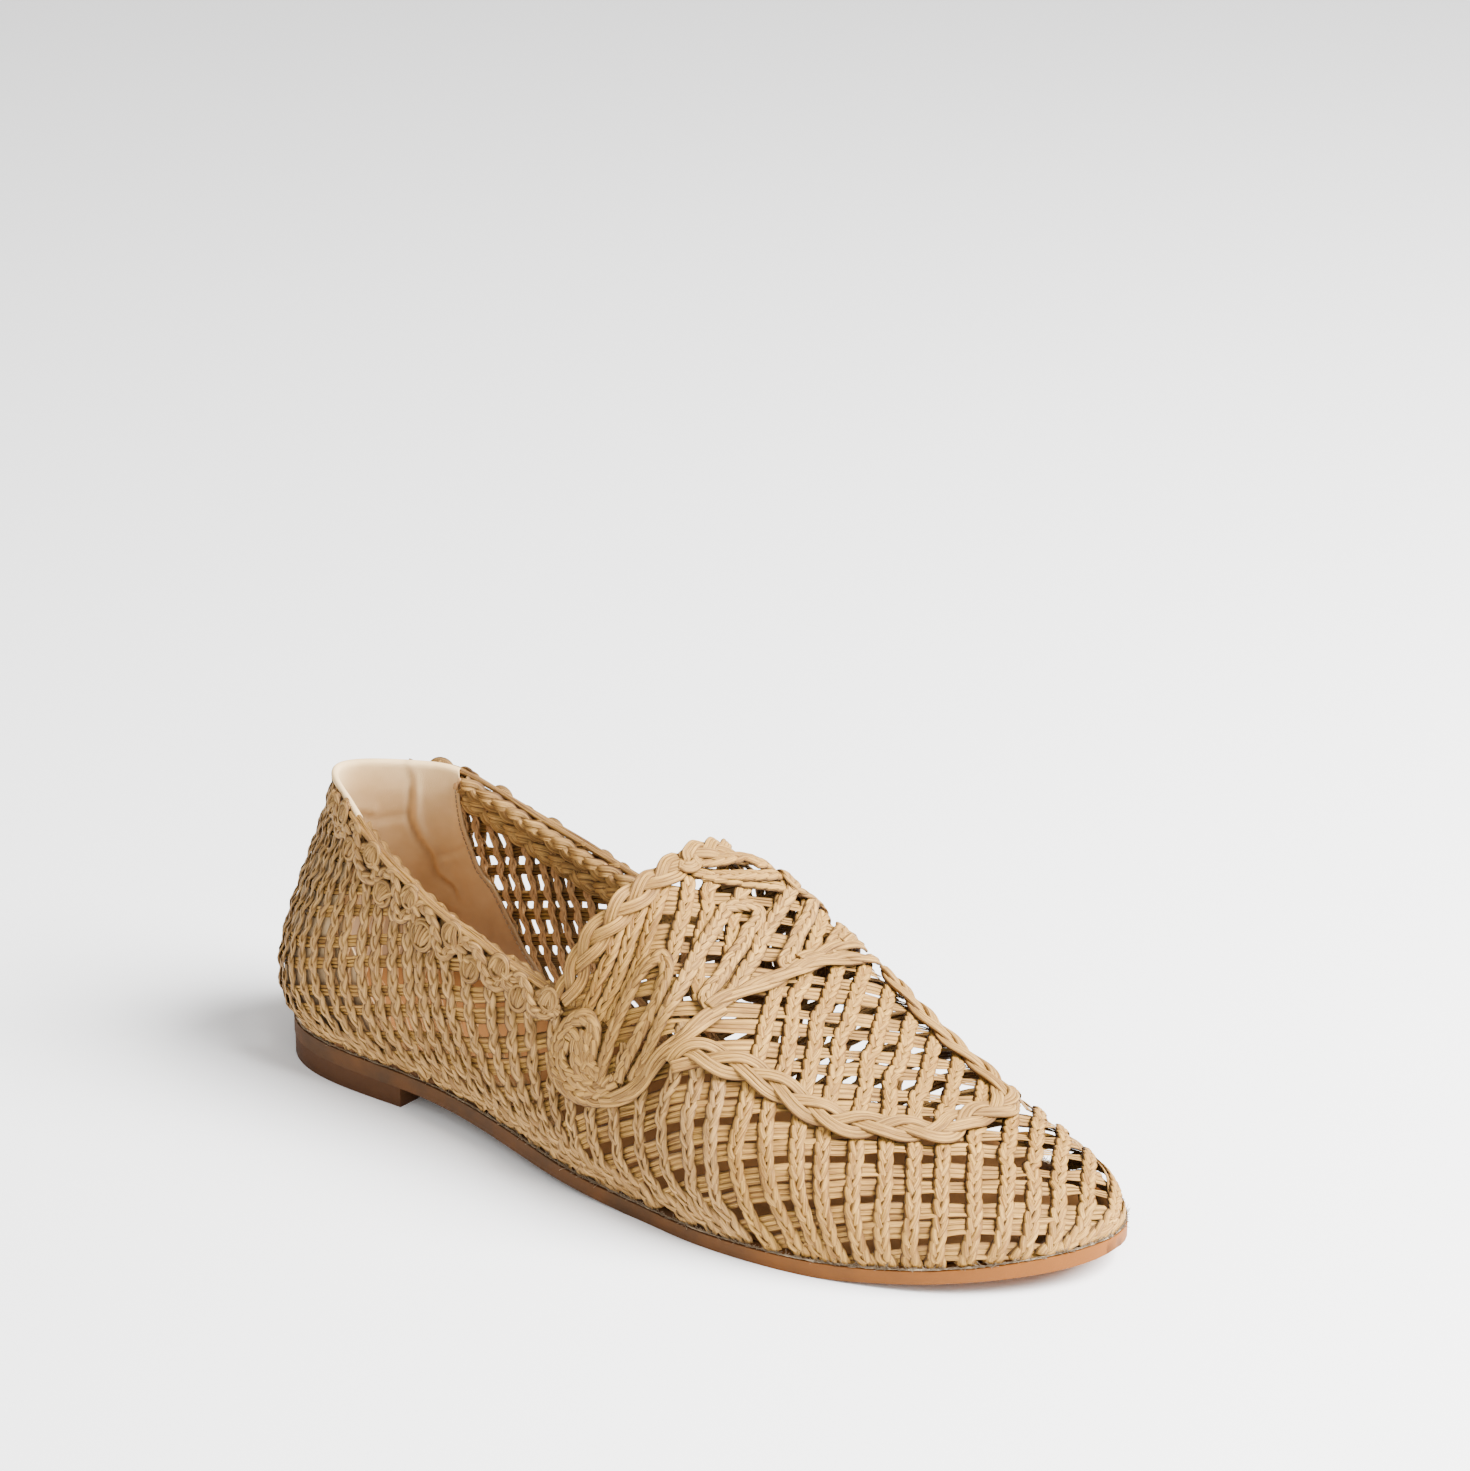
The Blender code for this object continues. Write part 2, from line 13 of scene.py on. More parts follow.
import bmesh
import bpy
import numpy as np
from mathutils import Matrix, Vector


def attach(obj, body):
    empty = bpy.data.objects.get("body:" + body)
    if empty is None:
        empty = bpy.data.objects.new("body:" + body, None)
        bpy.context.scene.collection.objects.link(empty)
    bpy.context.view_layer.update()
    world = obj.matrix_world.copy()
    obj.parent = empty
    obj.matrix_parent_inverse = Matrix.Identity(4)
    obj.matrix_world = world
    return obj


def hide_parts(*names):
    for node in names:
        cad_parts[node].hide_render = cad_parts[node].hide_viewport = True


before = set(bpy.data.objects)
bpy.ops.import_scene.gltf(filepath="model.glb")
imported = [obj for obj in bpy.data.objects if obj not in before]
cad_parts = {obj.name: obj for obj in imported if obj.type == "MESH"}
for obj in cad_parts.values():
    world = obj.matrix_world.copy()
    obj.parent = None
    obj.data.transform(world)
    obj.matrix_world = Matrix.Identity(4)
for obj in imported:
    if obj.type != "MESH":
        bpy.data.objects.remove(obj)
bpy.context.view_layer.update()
CHANCE = np.random.default_rng(7)

MM = 0.001
ORIGIN = np.array([128.8, 0.1, 0.0])
UP = np.array([0.0, 0.0, 1.0])
THROAT = 127.0
TONGUE_TIP = 166.0
TOE = 276.0
HEEL_TURN = 60.0
NOSE_TURN = 5.0


def table(text):
    """A table of sections: the first line names the columns, each other line is a section."""
    names, *rows = [line.split() for line in text.strip().splitlines()]
    return dict(zip(names, np.array(rows, float).T))


# The last. The foot columns follow the edge where the wall meets the sole, the top columns
# follow the collar, the tongue edge and the ridge; flare and lean are the wall's angles from
# upright at its foot and its top, and the pulls are the lengths of its two curve handles.
LAST = table("""
station foot_x foot_out foot_in foot_z top_x top_out top_in top_z flare foot_pull lean top_pull turn
0     5.5   0.0  0.0  11.0   13.0   0.0  0.0  76.0   30  0.38  13  0.33   0
22   13.3 -20.0 19.5  10.8   26.0 -13.5 14.5  75.5   40  0.35   8  0.37   0
52   37.0 -29.5 28.0  10.6   40.3 -21.7 22.1  72.7   22  0.38   8  0.37   0
92   74.2 -30.6 26.0   9.5   72.0 -28.5 28.0  60.0   16  0.33   6  0.33   0
127 110.3 -37.9 27.5   7.3  113.7 -30.3 31.3  47.6   12  0.35  10  0.35  14
150 129.6 -40.7 32.6   5.2  122.0 -18.5 23.5  71.0   12  0.36  36  0.40  40
166 147.1 -41.7 37.7   4.2  124.5   2.5  2.5  76.0   12  0.36  74  0.46  34
184 165.4 -43.5 42.3   4.0  141.0   2.2  2.2  66.0   13  0.36  83  0.50  14
206 191.0 -41.7 43.5   4.1  172.5   2.4  2.4  48.5   15  0.36  90  0.52   0
231 214.5 -35.0 38.8   5.0  205.5   3.2  3.2  33.2   17  0.36  90  0.55   0
255 239.5 -20.5 29.0   7.9  234.0   4.4  4.4  24.4   17  0.36  88  0.54   0
276 256.0   6.4  6.4  10.6  252.6   6.2  6.2  18.6   12  0.40  68  0.42   0
""")


def spline(knots, values, loop=False):
    """A cubic curve through the values, straight at its ends or running on around a loop."""
    knots = np.asarray(knots, float)
    values = np.asarray(values, float)
    span = np.diff(knots)
    slope = np.diff(values) / span
    last = len(knots) - 1
    system = np.eye(last + 1)
    load = np.zeros(last + 1)
    for k in range(1, last):
        system[k, k - 1:k + 2] = span[k - 1], 2 * (span[k - 1] + span[k]), span[k]
        load[k] = 6 * (slope[k] - slope[k - 1])
    if loop:
        system[0, last] = -1
        system[last] = 0
        system[last, [0, 1]] = 2 * span[0], span[0]
        system[last, [last, last - 1]] += 2 * span[-1], span[-1]
        load[last] = 6 * (slope[0] - slope[-1])
    bend = np.linalg.solve(system, load)

    def at(x):
        x = np.asarray(x, float)
        k = np.clip(np.searchsorted(knots, x) - 1, 0, last - 1)
        b = (x - knots[k]) / span[k]
        a = 1 - b
        curve = (a**3 - a) * bend[k] + (b**3 - b) * bend[k + 1]
        return a * values[k] + b * values[k + 1] + curve * span[k] ** 2 / 6

    return at


def steady(knots, values):
    """A smooth curve through the values that never swings past them between two knots."""
    knots = np.asarray(knots, float)
    values = np.asarray(values, float)
    span = np.diff(knots)
    slope = np.diff(values) / span
    before, after = slope[:-1], slope[1:]
    same_way = before * after > 0
    total = np.where(same_way, before + after, 1.0)
    tilt = np.concatenate([[0.0], np.where(same_way, 2 * before * after / total, 0.0), [0.0]])

    def at(x):
        x = np.asarray(x, float)
        k = np.clip(np.searchsorted(knots, x) - 1, 0, len(knots) - 2)
        b = np.clip((x - knots[k]) / span[k], 0, 1)
        blend = b**2 * (3 - 2 * b)
        swing = b * (1 - b) * ((1 - b) * tilt[k] - b * tilt[k + 1]) * span[k]
        return values[k] + (values[k + 1] - values[k]) * blend + swing

    return at


def both_sides(outer, inner):
    """Values from the toe back along the outer side, then forward along the inner side."""
    return np.concatenate([outer[::-1][:-1], inner])


STATION = LAST["station"]
AROUND = both_sides(-STATION, STATION)
FOOT = [
    spline(AROUND, both_sides(LAST["foot_x"], LAST["foot_x"]), loop=True),
    spline(AROUND, both_sides(LAST["foot_out"], LAST["foot_in"]), loop=True),
    spline(AROUND, both_sides(LAST["foot_z"], LAST["foot_z"]), loop=True),
]


def top_curve(rows, mirrored_first):
    """A spline of the top points of some sections, on both sides of the shoe."""
    knots = STATION[rows]
    x, z = LAST["top_x"][rows], LAST["top_z"][rows]
    outer, inner = LAST["top_out"][rows], LAST["top_in"][rows]
    if mirrored_first:
        pairs = ((-knots, knots), (x, x), (outer, inner), (z, z))
        ends = [both_sides(*pair) for pair in pairs]
    else:
        turn = knots[-1] - knots
        ends = [np.append(-turn, turn[:-1][::-1])]
        ends += [np.append(a, b[:-1][::-1]) for a, b in ((x, x), (outer, inner), (z, z))]
    return [spline(ends[0], values) for values in ends[1:]]


RIDGE_ROWS = STATION >= TONGUE_TIP
COLLAR_CURVE = top_curve(STATION <= THROAT, True)
TONGUE_CURVE = top_curve((STATION >= THROAT) & (STATION <= TONGUE_TIP), False)
RIDGE_CURVE = [
    spline(STATION[RIDGE_ROWS], LAST[name][RIDGE_ROWS]) for name in ("top_x", "top_out", "top_z")
]
SHAPE = {
    name: steady(AROUND, both_sides(LAST[name], LAST[name]))
    for name in ("flare", "foot_pull", "lean", "top_pull", "turn")
}
SOLE_UNDER = spline(STATION, [6.2, 6.0, 5.8, 5.0, 2.7, 1.1, -0.2, -0.5, -0.3, 1.2, 4.0, 6.9])


def unit(vectors):
    return vectors / np.linalg.norm(vectors, axis=-1, keepdims=True)


def foot(side):
    """Points of the sole edge at signed stations, negative on the outer side."""
    return np.stack([curve(side) for curve in FOOT], -1)


def outward(side):
    """The level direction out of the sole edge."""
    along = foot(side + 0.5) - foot(side - 0.5)
    return unit(np.stack([-along[..., 1], along[..., 0]], -1))


def top(side):
    """Points of the collar, the tongue edge and the ridge at signed stations."""
    reach = np.abs(side)
    collar = np.stack([curve(np.clip(side, -THROAT, THROAT)) for curve in COLLAR_CURVE], -1)
    turn = np.sign(side) * np.clip(TONGUE_TIP - reach, 0, TONGUE_TIP - THROAT)
    tongue = np.stack([curve(turn) for curve in TONGUE_CURVE], -1)
    ridge = np.stack([curve(np.maximum(reach, TONGUE_TIP)) for curve in RIDGE_CURVE], -1)
    reach = reach[..., None]
    return np.where(reach <= THROAT, collar, np.where(reach <= TONGUE_TIP, tongue, ridge))


def last_surface(side, height):
    """The outer face of the weave: a curve with two handles from the sole edge to the top."""
    low, high = foot(side), top(side)
    out = outward(side)
    turn = np.radians(SHAPE["turn"](side))
    across = np.stack([np.sin(turn), np.where(side < 0, -1.0, 1.0) * np.cos(turn)], -1)
    reach = np.abs(side)
    turned = np.clip((reach - HEEL_TURN) / HEEL_TURN, 0, 1)
    turned = turned * np.clip((TOE - reach) / NOSE_TURN, 0, 1)
    out_top = unit(out + (across - out) * turned[..., None])
    length = np.linalg.norm(high - low, axis=-1)[..., None]
    flare = np.radians(SHAPE["flare"](side))[..., None]
    lean = np.radians(SHAPE["lean"](side))[..., None]
    up = np.concatenate([out * np.sin(flare), np.cos(flare)], -1)
    down = np.concatenate([out_top * np.sin(lean), -np.cos(lean)], -1)
    low_handle = low + SHAPE["foot_pull"](side)[..., None] * length * up
    high_handle = high + SHAPE["top_pull"](side)[..., None] * length * down
    t = height[..., None]
    curve = (1 - t) ** 3 * low + 3 * (1 - t) ** 2 * t * low_handle
    return curve + 3 * (1 - t) * t**2 * high_handle + t**3 * high


def normal_one_side(side, height):
    """The direction off the weave's outer face, worked out on one side of the shoe alone."""
    side = np.clip(side, -TOE + 0.5, TOE - 0.5)
    height = np.clip(height, 0.004, 0.996)
    along = last_surface(side + 0.4, height) - last_surface(side - 0.4, height)
    upward = last_surface(side, height + 0.003) - last_surface(side, height - 0.003)
    return unit(np.cross(upward, along))


def fuller(station, rise):
    """How much the loose cords over the inner instep stand off the last."""
    crown = 7.0 * np.exp(-(((station - 166) / 17) ** 2) - ((rise - 1.19) / 0.13) ** 2)
    return crown + 2.4 * np.exp(-(((station - 181) / 12) ** 2) - ((rise - 1.33) / 0.09) ** 2)


def skin(station, rise, lift=0.0):
    """Points at a lift off the outer face of the weave, at stations and rises."""
    station, rise = np.broadcast_arrays(np.asarray(station, float), np.asarray(rise, float))
    side = np.where(rise > 1, station, -station)
    height = np.where(rise > 1, 2 - rise, rise)
    normal = normal_one_side(side, height)
    near_ridge = np.clip((height - 0.93) / 0.07, 0, 1) * 0.5
    shared = np.where(station >= TONGUE_TIP, near_ridge, 0.0)
    shared = np.where(station > TOE - 0.5, 0.5, shared)[..., None]
    normal = unit(normal * (1 - shared) + normal_one_side(-side, height) * shared)
    lift = np.asarray(lift) + fuller(station, rise)
    return last_surface(side, height) + lift[..., None] * normal


def lengths_along(points):
    """The distance run along each path, from its start to each of its points."""
    steps = np.linalg.norm(np.diff(points, axis=-2), axis=-1)
    return np.concatenate([np.zeros(steps.shape[:-1] + (1,)), np.cumsum(steps, -1)], -1)


def pairs_of(text):
    return np.array(text.split(), float).reshape(-1, 2)


def even_route(station, rise, rings):
    """A route over the last with its points moved to even distances."""
    run = lengths_along(skin(station, rise))
    even = np.linspace(0, run[-1], rings)
    return np.interp(even, run, station), np.interp(even, run, rise)


def smooth_route(text, rings, mirrored=False):
    """An even route through listed pairs of station and rise."""
    station, rise = pairs_of(text).T
    if mirrored:
        rise = 2 - rise
    run = lengths_along(skin(station, rise))
    fine = np.linspace(0, run[-1], 400)
    return even_route(spline(run, station)(fine), spline(run, rise)(fine), rings)


def named_routes(text, rings):
    """Routes from lines of a name and pairs. A name with a star stands for two, mirrored."""
    for line in text.strip().splitlines():
        name, route = line.split(maxsplit=1)
        yield name, smooth_route(route, rings)
        if name.endswith("*"):
            yield name, smooth_route(route, rings, mirrored=True)


def laid(route):
    """Points of a route on the last, and the directions off its surface."""
    points = skin(*route)
    return points, unit(skin(*route, 1.0) - points)


def evenly(points, off, rings):
    """A path moved to even distances."""
    run = lengths_along(points)
    even = np.linspace(0, run[-1], rings)
    points = np.stack([np.interp(even, run, points[:, k]) for k in range(3)], -1)
    off = np.stack([np.interp(even, run, off[:, k]) for k in range(3)], -1)
    return points, unit(off)


def beside(points, off):
    """The direction across a path, level with the surface."""
    return unit(np.cross(off, np.gradient(points, axis=0)))


def finished(bm, name):
    """The mesh of a bmesh that is done with."""
    mesh = bpy.data.meshes.new(name)
    bm.to_mesh(mesh)
    bm.free()
    return mesh


def tube_pattern(rings, corners):
    """A closed tube, and for each of its corners the ring and the place around it."""
    bm = bmesh.new()
    bmesh.ops.create_cone(
        bm, cap_ends=True, segments=corners, radius1=1.0, radius2=1.0, depth=1.0
    )
    rails = [edge for edge in bm.edges if abs(edge.verts[0].co.z - edge.verts[1].co.z) > 0.5]
    bmesh.ops.subdivide_edges(bm, edges=rails, cuts=rings - 2, use_grid_fill=True)
    for face in bm.faces:
        face.smooth = True
    ring = np.array([round((v.co.z + 0.5) * (rings - 1)) for v in bm.verts])
    turn = np.array([math.atan2(v.co.y, v.co.x) for v in bm.verts])
    place = np.round(turn / (2 * math.pi) * corners).astype(int)
    place -= place.min()
    return finished(bm, "tube_pattern"), ring, place % corners


def piece_of(name, mesh, material):
    piece = bpy.data.objects.new(name, mesh)
    bpy.context.scene.collection.objects.link(piece)
    mesh.materials.clear()
    mesh.materials.append(material)
    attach(piece, "root")
    return piece


def tubes(name, strands, corners, material):
    """One piece of many strands with the same number of rings. A strand is a tuple of its
    points, the directions off the surface, its half width, its half thickness and its depth,
    which sets how much painted shade the raffia puts on it."""
    points = np.stack([strand[0] for strand in strands])
    off = np.stack([strand[1] for strand in strands])
    count, rings = points.shape[:2]
    half_width = np.stack([np.broadcast_to(strand[2], (rings,)) for strand in strands])
    half_thick = np.stack([np.broadcast_to(strand[3], (rings,)) for strand in strands])
    depth = np.stack([np.broadcast_to(strand[4], (rings,)) for strand in strands])
    along = unit(np.gradient(points, axis=-2))
    across = unit(np.cross(off, along))
    up = np.cross(along, across)
    turn = -math.pi / 2 + 2 * math.pi * np.arange(corners) / corners
    side = np.sign(np.cos(turn)) * np.abs(np.cos(turn)) ** 0.85
    rise = np.sign(np.sin(turn)) * np.abs(np.sin(turn)) ** 0.85
    shell = points[:, :, None] + across[:, :, None] * (half_width[..., None] * side)[..., None]
    shell = shell + up[:, :, None] * (half_thick[..., None] * rise)[..., None]
    pattern, ring, place = tube_pattern(rings, corners)
    bm = bmesh.new()
    for _ in range(count):
        bm.from_mesh(pattern)
    mesh = finished(bm, name)
    bpy.data.meshes.remove(pattern)
    spots = (shell[:, ring, place] - ORIGIN) * MM
    mesh.vertices.foreach_set("co", spots.ravel())
    run = lengths_along(points)
    chance = CHANCE.random(count)
    fibre = np.stack(
        [
            run[:, ring],
            (place / corners * 3.0)[None].repeat(count, 0),
            chance[:, None].repeat(len(ring), 1) * 40,
        ],
        -1,
    )
    mark = mesh.attributes.new("fibre", "FLOAT_VECTOR", "POINT")
    mark.data.foreach_set("vector", fibre.ravel())
    # The depth and rim marks carry painted shade: a strand's underside, where it lies under others,
    # and its edges come out darker.
    mark = mesh.attributes.new("depth", "FLOAT", "POINT")
    low = depth[:, ring] + 0.35 * rise[place][None]
    mark.data.foreach_set("value", low.ravel())
    mark = mesh.attributes.new("rim", "FLOAT", "POINT")
    mark.data.foreach_set("value", np.tile(np.abs(side[place]), count))
    mesh.update()
    return piece_of(name, mesh, material)


# How far a cord strays sideways, and how unevenly its strands follow each other.
WANDER = 0.18
JITTER = 0.12


def plait(path, width, period, lift, strands=5, thick=0.45, share=0.48, filaments=1, splay=0.0):
    """Flat strands plaited into a cord along a path. The share is a strand's part of the
    cord's width, a strand may be of some filaments, and splay, one number for each point,
    opens the plait into flat strands side by side."""
    points, off = path
    across = beside(points, off)
    run = lengths_along(points)
    splay = np.broadcast_to(splay, run.shape)
    start = CHANCE.random()
    made = []
    strand_width = np.broadcast_to(share * width, run.shape)
    knots = np.linspace(0, run[-1], 3 + int(run[-1] / 8))
    wander = np.interp(run, knots, CHANCE.standard_normal(len(knots)))
    points = points + across * (WANDER * wander)[:, None]
    for strand in range(strands):
        jitter = JITTER * CHANCE.standard_normal()
        turn = 2 * math.pi * (run / period + start + (strand + jitter) / strands)
        swing = np.sin(turn) * (1 + 0.35 * splay)
        above = np.sin(2 * turn) * (1 - 0.6 * splay)
        middle = points + across * (swing * (width - strand_width) / 2)[:, None]
        middle = middle + off * (lift + 0.5 * thick * above)[:, None]
        lean = unit(off + across * (0.22 * swing)[:, None])
        aside = beside(middle, lean)
        for filament in range(filaments):
            step = (filament - (filaments - 1) / 2) * strand_width / filaments
            half = strand_width / 2 if filaments == 1 else 0.7 * strand_width / filaments
            half = half * (1 + 0.5 * splay)
            line = middle + aside * step[:, None]
            # The last number is the depth: a strand lying under others gets a lower one and is
            # painted darker, as painted shade.
            made.append((line, lean, half, thick / 2, 0.3 * above + 0.25 * splay))
    return made


class Wire:
    """A socket of a material, with arithmetic."""

    def __init__(self, nodes, socket):
        self.nodes = nodes
        self.socket = socket

    def node(self, kind, inputs, output=0, **settings):
        """Another node of the same material, fed with numbers or wires; one of its outputs."""
        made = self.nodes.new(kind)
        for name, value in settings.items():
            setattr(made, name, value)
        for name, value in inputs.items():
            if isinstance(value, Wire):
                self.nodes.id_data.links.new(value.socket, made.inputs[name])
            else:
                made.inputs[name].default_value = value
        return Wire(self.nodes, made.outputs[output])

    def __add__(self, other):
        return self.node("ShaderNodeMath", {0: self, 1: other}, operation="ADD")

    __radd__ = __add__

    def __mul__(self, other):
        return self.node("ShaderNodeMath", {0: self, 1: other}, operation="MULTIPLY")

    __rmul__ = __mul__

    def held(self, low, high):
        """The value mapped from low..high to 0..1 and held there."""
        return self.node("ShaderNodeMapRange", {0: self, 1: low, 2: high}, clamp=True)

    def part(self, axis):
        """One of the vector's three numbers."""
        return self.node("ShaderNodeSeparateXYZ", {0: self}, output=axis)

    def scaled(self, factors):
        """The vector times three numbers."""
        return self.node("ShaderNodeVectorMath", {0: self, 1: factors}, operation="MULTIPLY")

    def noise(self, scale, detail=2.0, roughness=0.5):
        inputs = {"Vector": self, "Scale": scale, "Detail": detail, "Roughness": roughness}
        return self.node("ShaderNodeTexNoise", inputs)

    def mixed(self, first, second):
        """Two colours mixed by this value."""
        first, second = [
            colour if isinstance(colour, Wire) else (*colour, 1.0) for colour in (first, second)
        ]
        inputs = {0: self, 6: first, 7: second}
        return self.node("ShaderNodeMix", inputs, output=2, data_type="RGBA")


class Finish:
    """A new material with its shader, object coordinates and named attributes."""

    def __init__(self, name):
        self.material = bpy.data.materials.new(name)
        self.material.use_nodes = True
        self.nodes = self.material.node_tree.nodes
        self.shader = self.nodes["Principled BSDF"]
        self.start = Wire(self.nodes, None)

    def place(self):
        return self.start.node("ShaderNodeTexCoord", {}, output="Object")

    def mark(self, name, output):
        return self.start.node("ShaderNodeAttribute", {}, output=output, attribute_name=name)

    def set(self, **values):
        for name, value in values.items():
            socket = self.shader.inputs[name.replace("_", " ").title()]
            if isinstance(value, Wire):
                self.material.node_tree.links.new(value.socket, socket)
            else:
                socket.default_value = value

    def shine(self, level):
        self.shader.inputs["Specular IOR Level"].default_value = level

    def bump(self, height, distance, strength=1.0):
        inputs = {"Height": height, "Distance": distance, "Strength": strength}
        self.set(normal=height.node("ShaderNodeBump", inputs))


def raffia(name, light, dark, gap):
    """Dry palm fibre: streaks and thin dark lines along each strand, and painted shade that
    darkens each strand at its edges, on its underside and where it lies under others."""
    finish = Finish(name)
    fibre = finish.mark("fibre", "Vector")
    depth = finish.mark("depth", "Fac")
    edge = finish.mark("rim", "Fac").held(0.45, 0.9)
    fine = fibre.scaled((0.10, 4.0, 1.0)).noise(1.0, 3.0, 0.7)
    thread = fibre.scaled((0.06, 7.5, 1.0)).noise(1.0, 1.0, 0.5)
    broad = fibre.scaled((0.05, 0.5, 1.0)).noise(1.0, 1.0, 0.5)
    tone = fine.held(0.38, 0.60) * 0.6 + broad.held(0.32, 0.66) * 0.4
    colour = tone.mixed(dark, light)
    # painted shade from the depth and rim marks, mixed with the fibre's own thin dark lines
    painted_shade_and_threads = depth.held(0.30, -0.55) * 0.65 + edge * 0.5 + thread.held(0.46, 0.36) * 0.5
    finish.set(base_color=painted_shade_and_threads.mixed(colour, gap), roughness=0.62)
    finish.shine(0.3)
    finish.bump(fine + broad * 0.5, 0.0005, 1.0)
    return finish.material


# Each raffia's light and dark streaks, and the painted shade of its gaps. Outside it is weathered
# straw; the copy for the parts in shade is painted bluer and a little lighter, and inside the
# collar it is painted lighter and redder, painted light for the light bounced inside the shoe.
RAFFIA = raffia("raffia", (0.58, 0.318, 0.070), (0.23, 0.100, 0.017), (0.090, 0.034, 0.006))
# painted: a bluer, slightly lighter copy of the raffia for the rear, side and inner parts that lie
# in shade
RAFFIA_SHADE_TINT = raffia(
    "raffia_shade_tint", (0.60, 0.345, 0.108), (0.25, 0.120, 0.031), (0.095, 0.040, 0.009)
)
# painted light: the inside cords are much lighter and redder, standing in for light through the
# weave and bounced inside the shoe
RAFFIA_INSIDE_PAINTED_LIGHT = raffia(
    "raffia_inside_painted_light", (0.80, 0.465, 0.195), (0.55, 0.295, 0.110), (0.38, 0.180, 0.060)
)
RAFFIA_KNOTS = raffia(
    "raffia_knots", (0.53, 0.298, 0.082), (0.19, 0.088, 0.020), (0.070, 0.028, 0.006)
)
RAFFIA_TRIM = raffia(
    "raffia_trim", (0.55, 0.302, 0.070), (0.19, 0.086, 0.016), (0.070, 0.027, 0.005)
)

# The cross strips lie in parallel planes that climb to the toe and the outer side; around
# the heel they climb more gently, alike on both sides.
ROW_TILT = np.array([-0.417, 0.483, 0.770])
ROW_TILT_REAR = np.array([-0.235, 0.0, 0.82])
ROW_REAR_SHIFT = -37.5
ROW_FIRST = -106.4
ROW_PITCH = 5.55
ROW_COUNT = 36
FIRST_APRON_ROW = -8
ROW_PAIRING = 0.45
INNER_SHIFT = 7 * ROW_PITCH

# The highest rise of the strips by station, and the rise that parts the apron's strips from
# those of the side on the inner half.
HIGHEST_ROW = (
    (45, 60, THROAT, THROAT + 4, TONGUE_TIP, TONGUE_TIP + 3),
    (0.94, 0.975, 0.975, 0.972, 0.985, 1.0),
)
APRON_LIMIT = steady([0, 127, 134, 160, 190, 205, 230, 236, 241, 277],
                     [1.0, 1.0, 1.3, 1.55, 1.43, 1.36, 1.335, 1.33, 1.5, 1.55])

# Stations of the cords at rise 0.3 on the outer side, counted from the photo.
CORD_STATIONS = """
3.2 9.3 15.2 21 26.8 32.5 38.3 44 50.8 57.2 64.6 70.7 77.5 83.8 89.6 95.5 101 107.5 114.8 121.3
127.8 135 143.3 150.4 157.9 166.4 175.8 185.2 191.7 197.7 204.8 212 218.2 225.8 232.7 239.2 244.8
251 256 260.3 264.8 269
"""

# How far a cord lies ahead of that station at its foot, at six rises on its way up and at
# the top.
CORD_RISES = (0, 0.07, 0.15, 0.3, 0.5, 0.7, 0.85, 1.0)
CORD_DRIFT = table("""
station  foot  r07  r15  r30  r50  r70  r85  top
0     0    0   0    0   0    0    0    0
12    8  4.5  2.5   0  -2   -3   -3.5  -4
24   14  7.0  4.0   0  -4   -6   -7.0  -7.5
40   16.5 8.5  4.8  0  -5   -7   -8.0  -8.5
57   13.5 8.0  4.2  0  -3.6 -5   -5.8  -6.2
80   14.5 9.0  4.9  0  -2.4 -3.2 -3.7  -4
95   17.5 10   5.6  0  -4.4 -6.2 -7.0  -7.5
121  21.0 14   7.5  0  -4.7 -7.0 -8.2  -8.8
135  19.5 10.3 5.1  0  -5.4 -8.8 -10   -10.6
143  15.5 5.3  2.2  0  -2.0 -4.0 -5    -6
158  12.5 4.4  1.6  0   0    0    0     0
166  17.0 5.6  0.8  0   1    2    2     2
176  13.5 7.0  0.9  0   7    8    8     8
186  8.0  3.0 -0.2  0   3.5  5    5     5
192  5.2  2.2 -0.5  0   2.6  4    3     2
198  6.5  3.6  1.3  0   3.0  4.0  2.2  -0.5
205  6.4  4.4  2.5  0   0.6  1.6 -0.3  -4.4
212  4.3  3.2  1.9  0   0.0 -0.8 -2.8  -6.8
226  3.1  1.5  0.8  0  -0.9 -3.0 -5.6 -10.0
239  0.4  0.3  0.2  0  -1.2 -4.0 -7.7 -11.9
251 -0.6 -0.4 -0.2  0  -0.9 -3.1 -6.1 -10.5
260 -1.4 -1.0 -0.5  0   0.2 -0.4 -1.8  -5.8
265 -1.9 -1.1 -0.6  0   0.6  0.8  0.0  -2.8
269 -3.8 -2.8 -1.9  0   1.6  2.4  3.0   2.2
274 -5.0 -3.5 -2.0  0   1.0  1.5  1.6   1.4
""")
DRIFT_CURVES = [steady(CORD_DRIFT["station"], CORD_DRIFT[name]) for name in list(CORD_DRIFT)[1:]]

# Tongue cords, from under the strap to the tongue braid. A star marks those that are
# mirrored on the inner half.
TONGUE_CORDS = """
first* 138 .60  140 .66  143.3 .74  148 .87  152 .965
second* 150.5 .60  155.1 .70  159.9 .862  163 .97
third 166.5 .62  170.1 .706  172.1 .794  172.5 .906  171.5 .99
fourth 187 .72  181.2 .881  179.2 .969  173 1.05
fifth 190 .88  186.5 .97  182 1.044  175 1.11
sixth 186.5 1.09  181 1.17  174 1.22
third_far 160 1.45  166.5 1.36  170 1.27  173 1.18  172 1.02
fifth_far 176 1.30  177 1.20  175.5 1.10  170 1.01
sixth_far 160 1.30  165.5 1.18  167 1.08  166 1.01
fourth_far 150 1.42  157 1.30  161 1.18  163 1.02
between* 145.5 .60  149.4 .70  154 .862  157.6 .97
"""
CORD_UP = np.array([-0.258, 0.328, 0.909])

# Where the rear cords end and the side cords begin, and where those end, by station.
REAR_END = 137
SIDE_END = 196

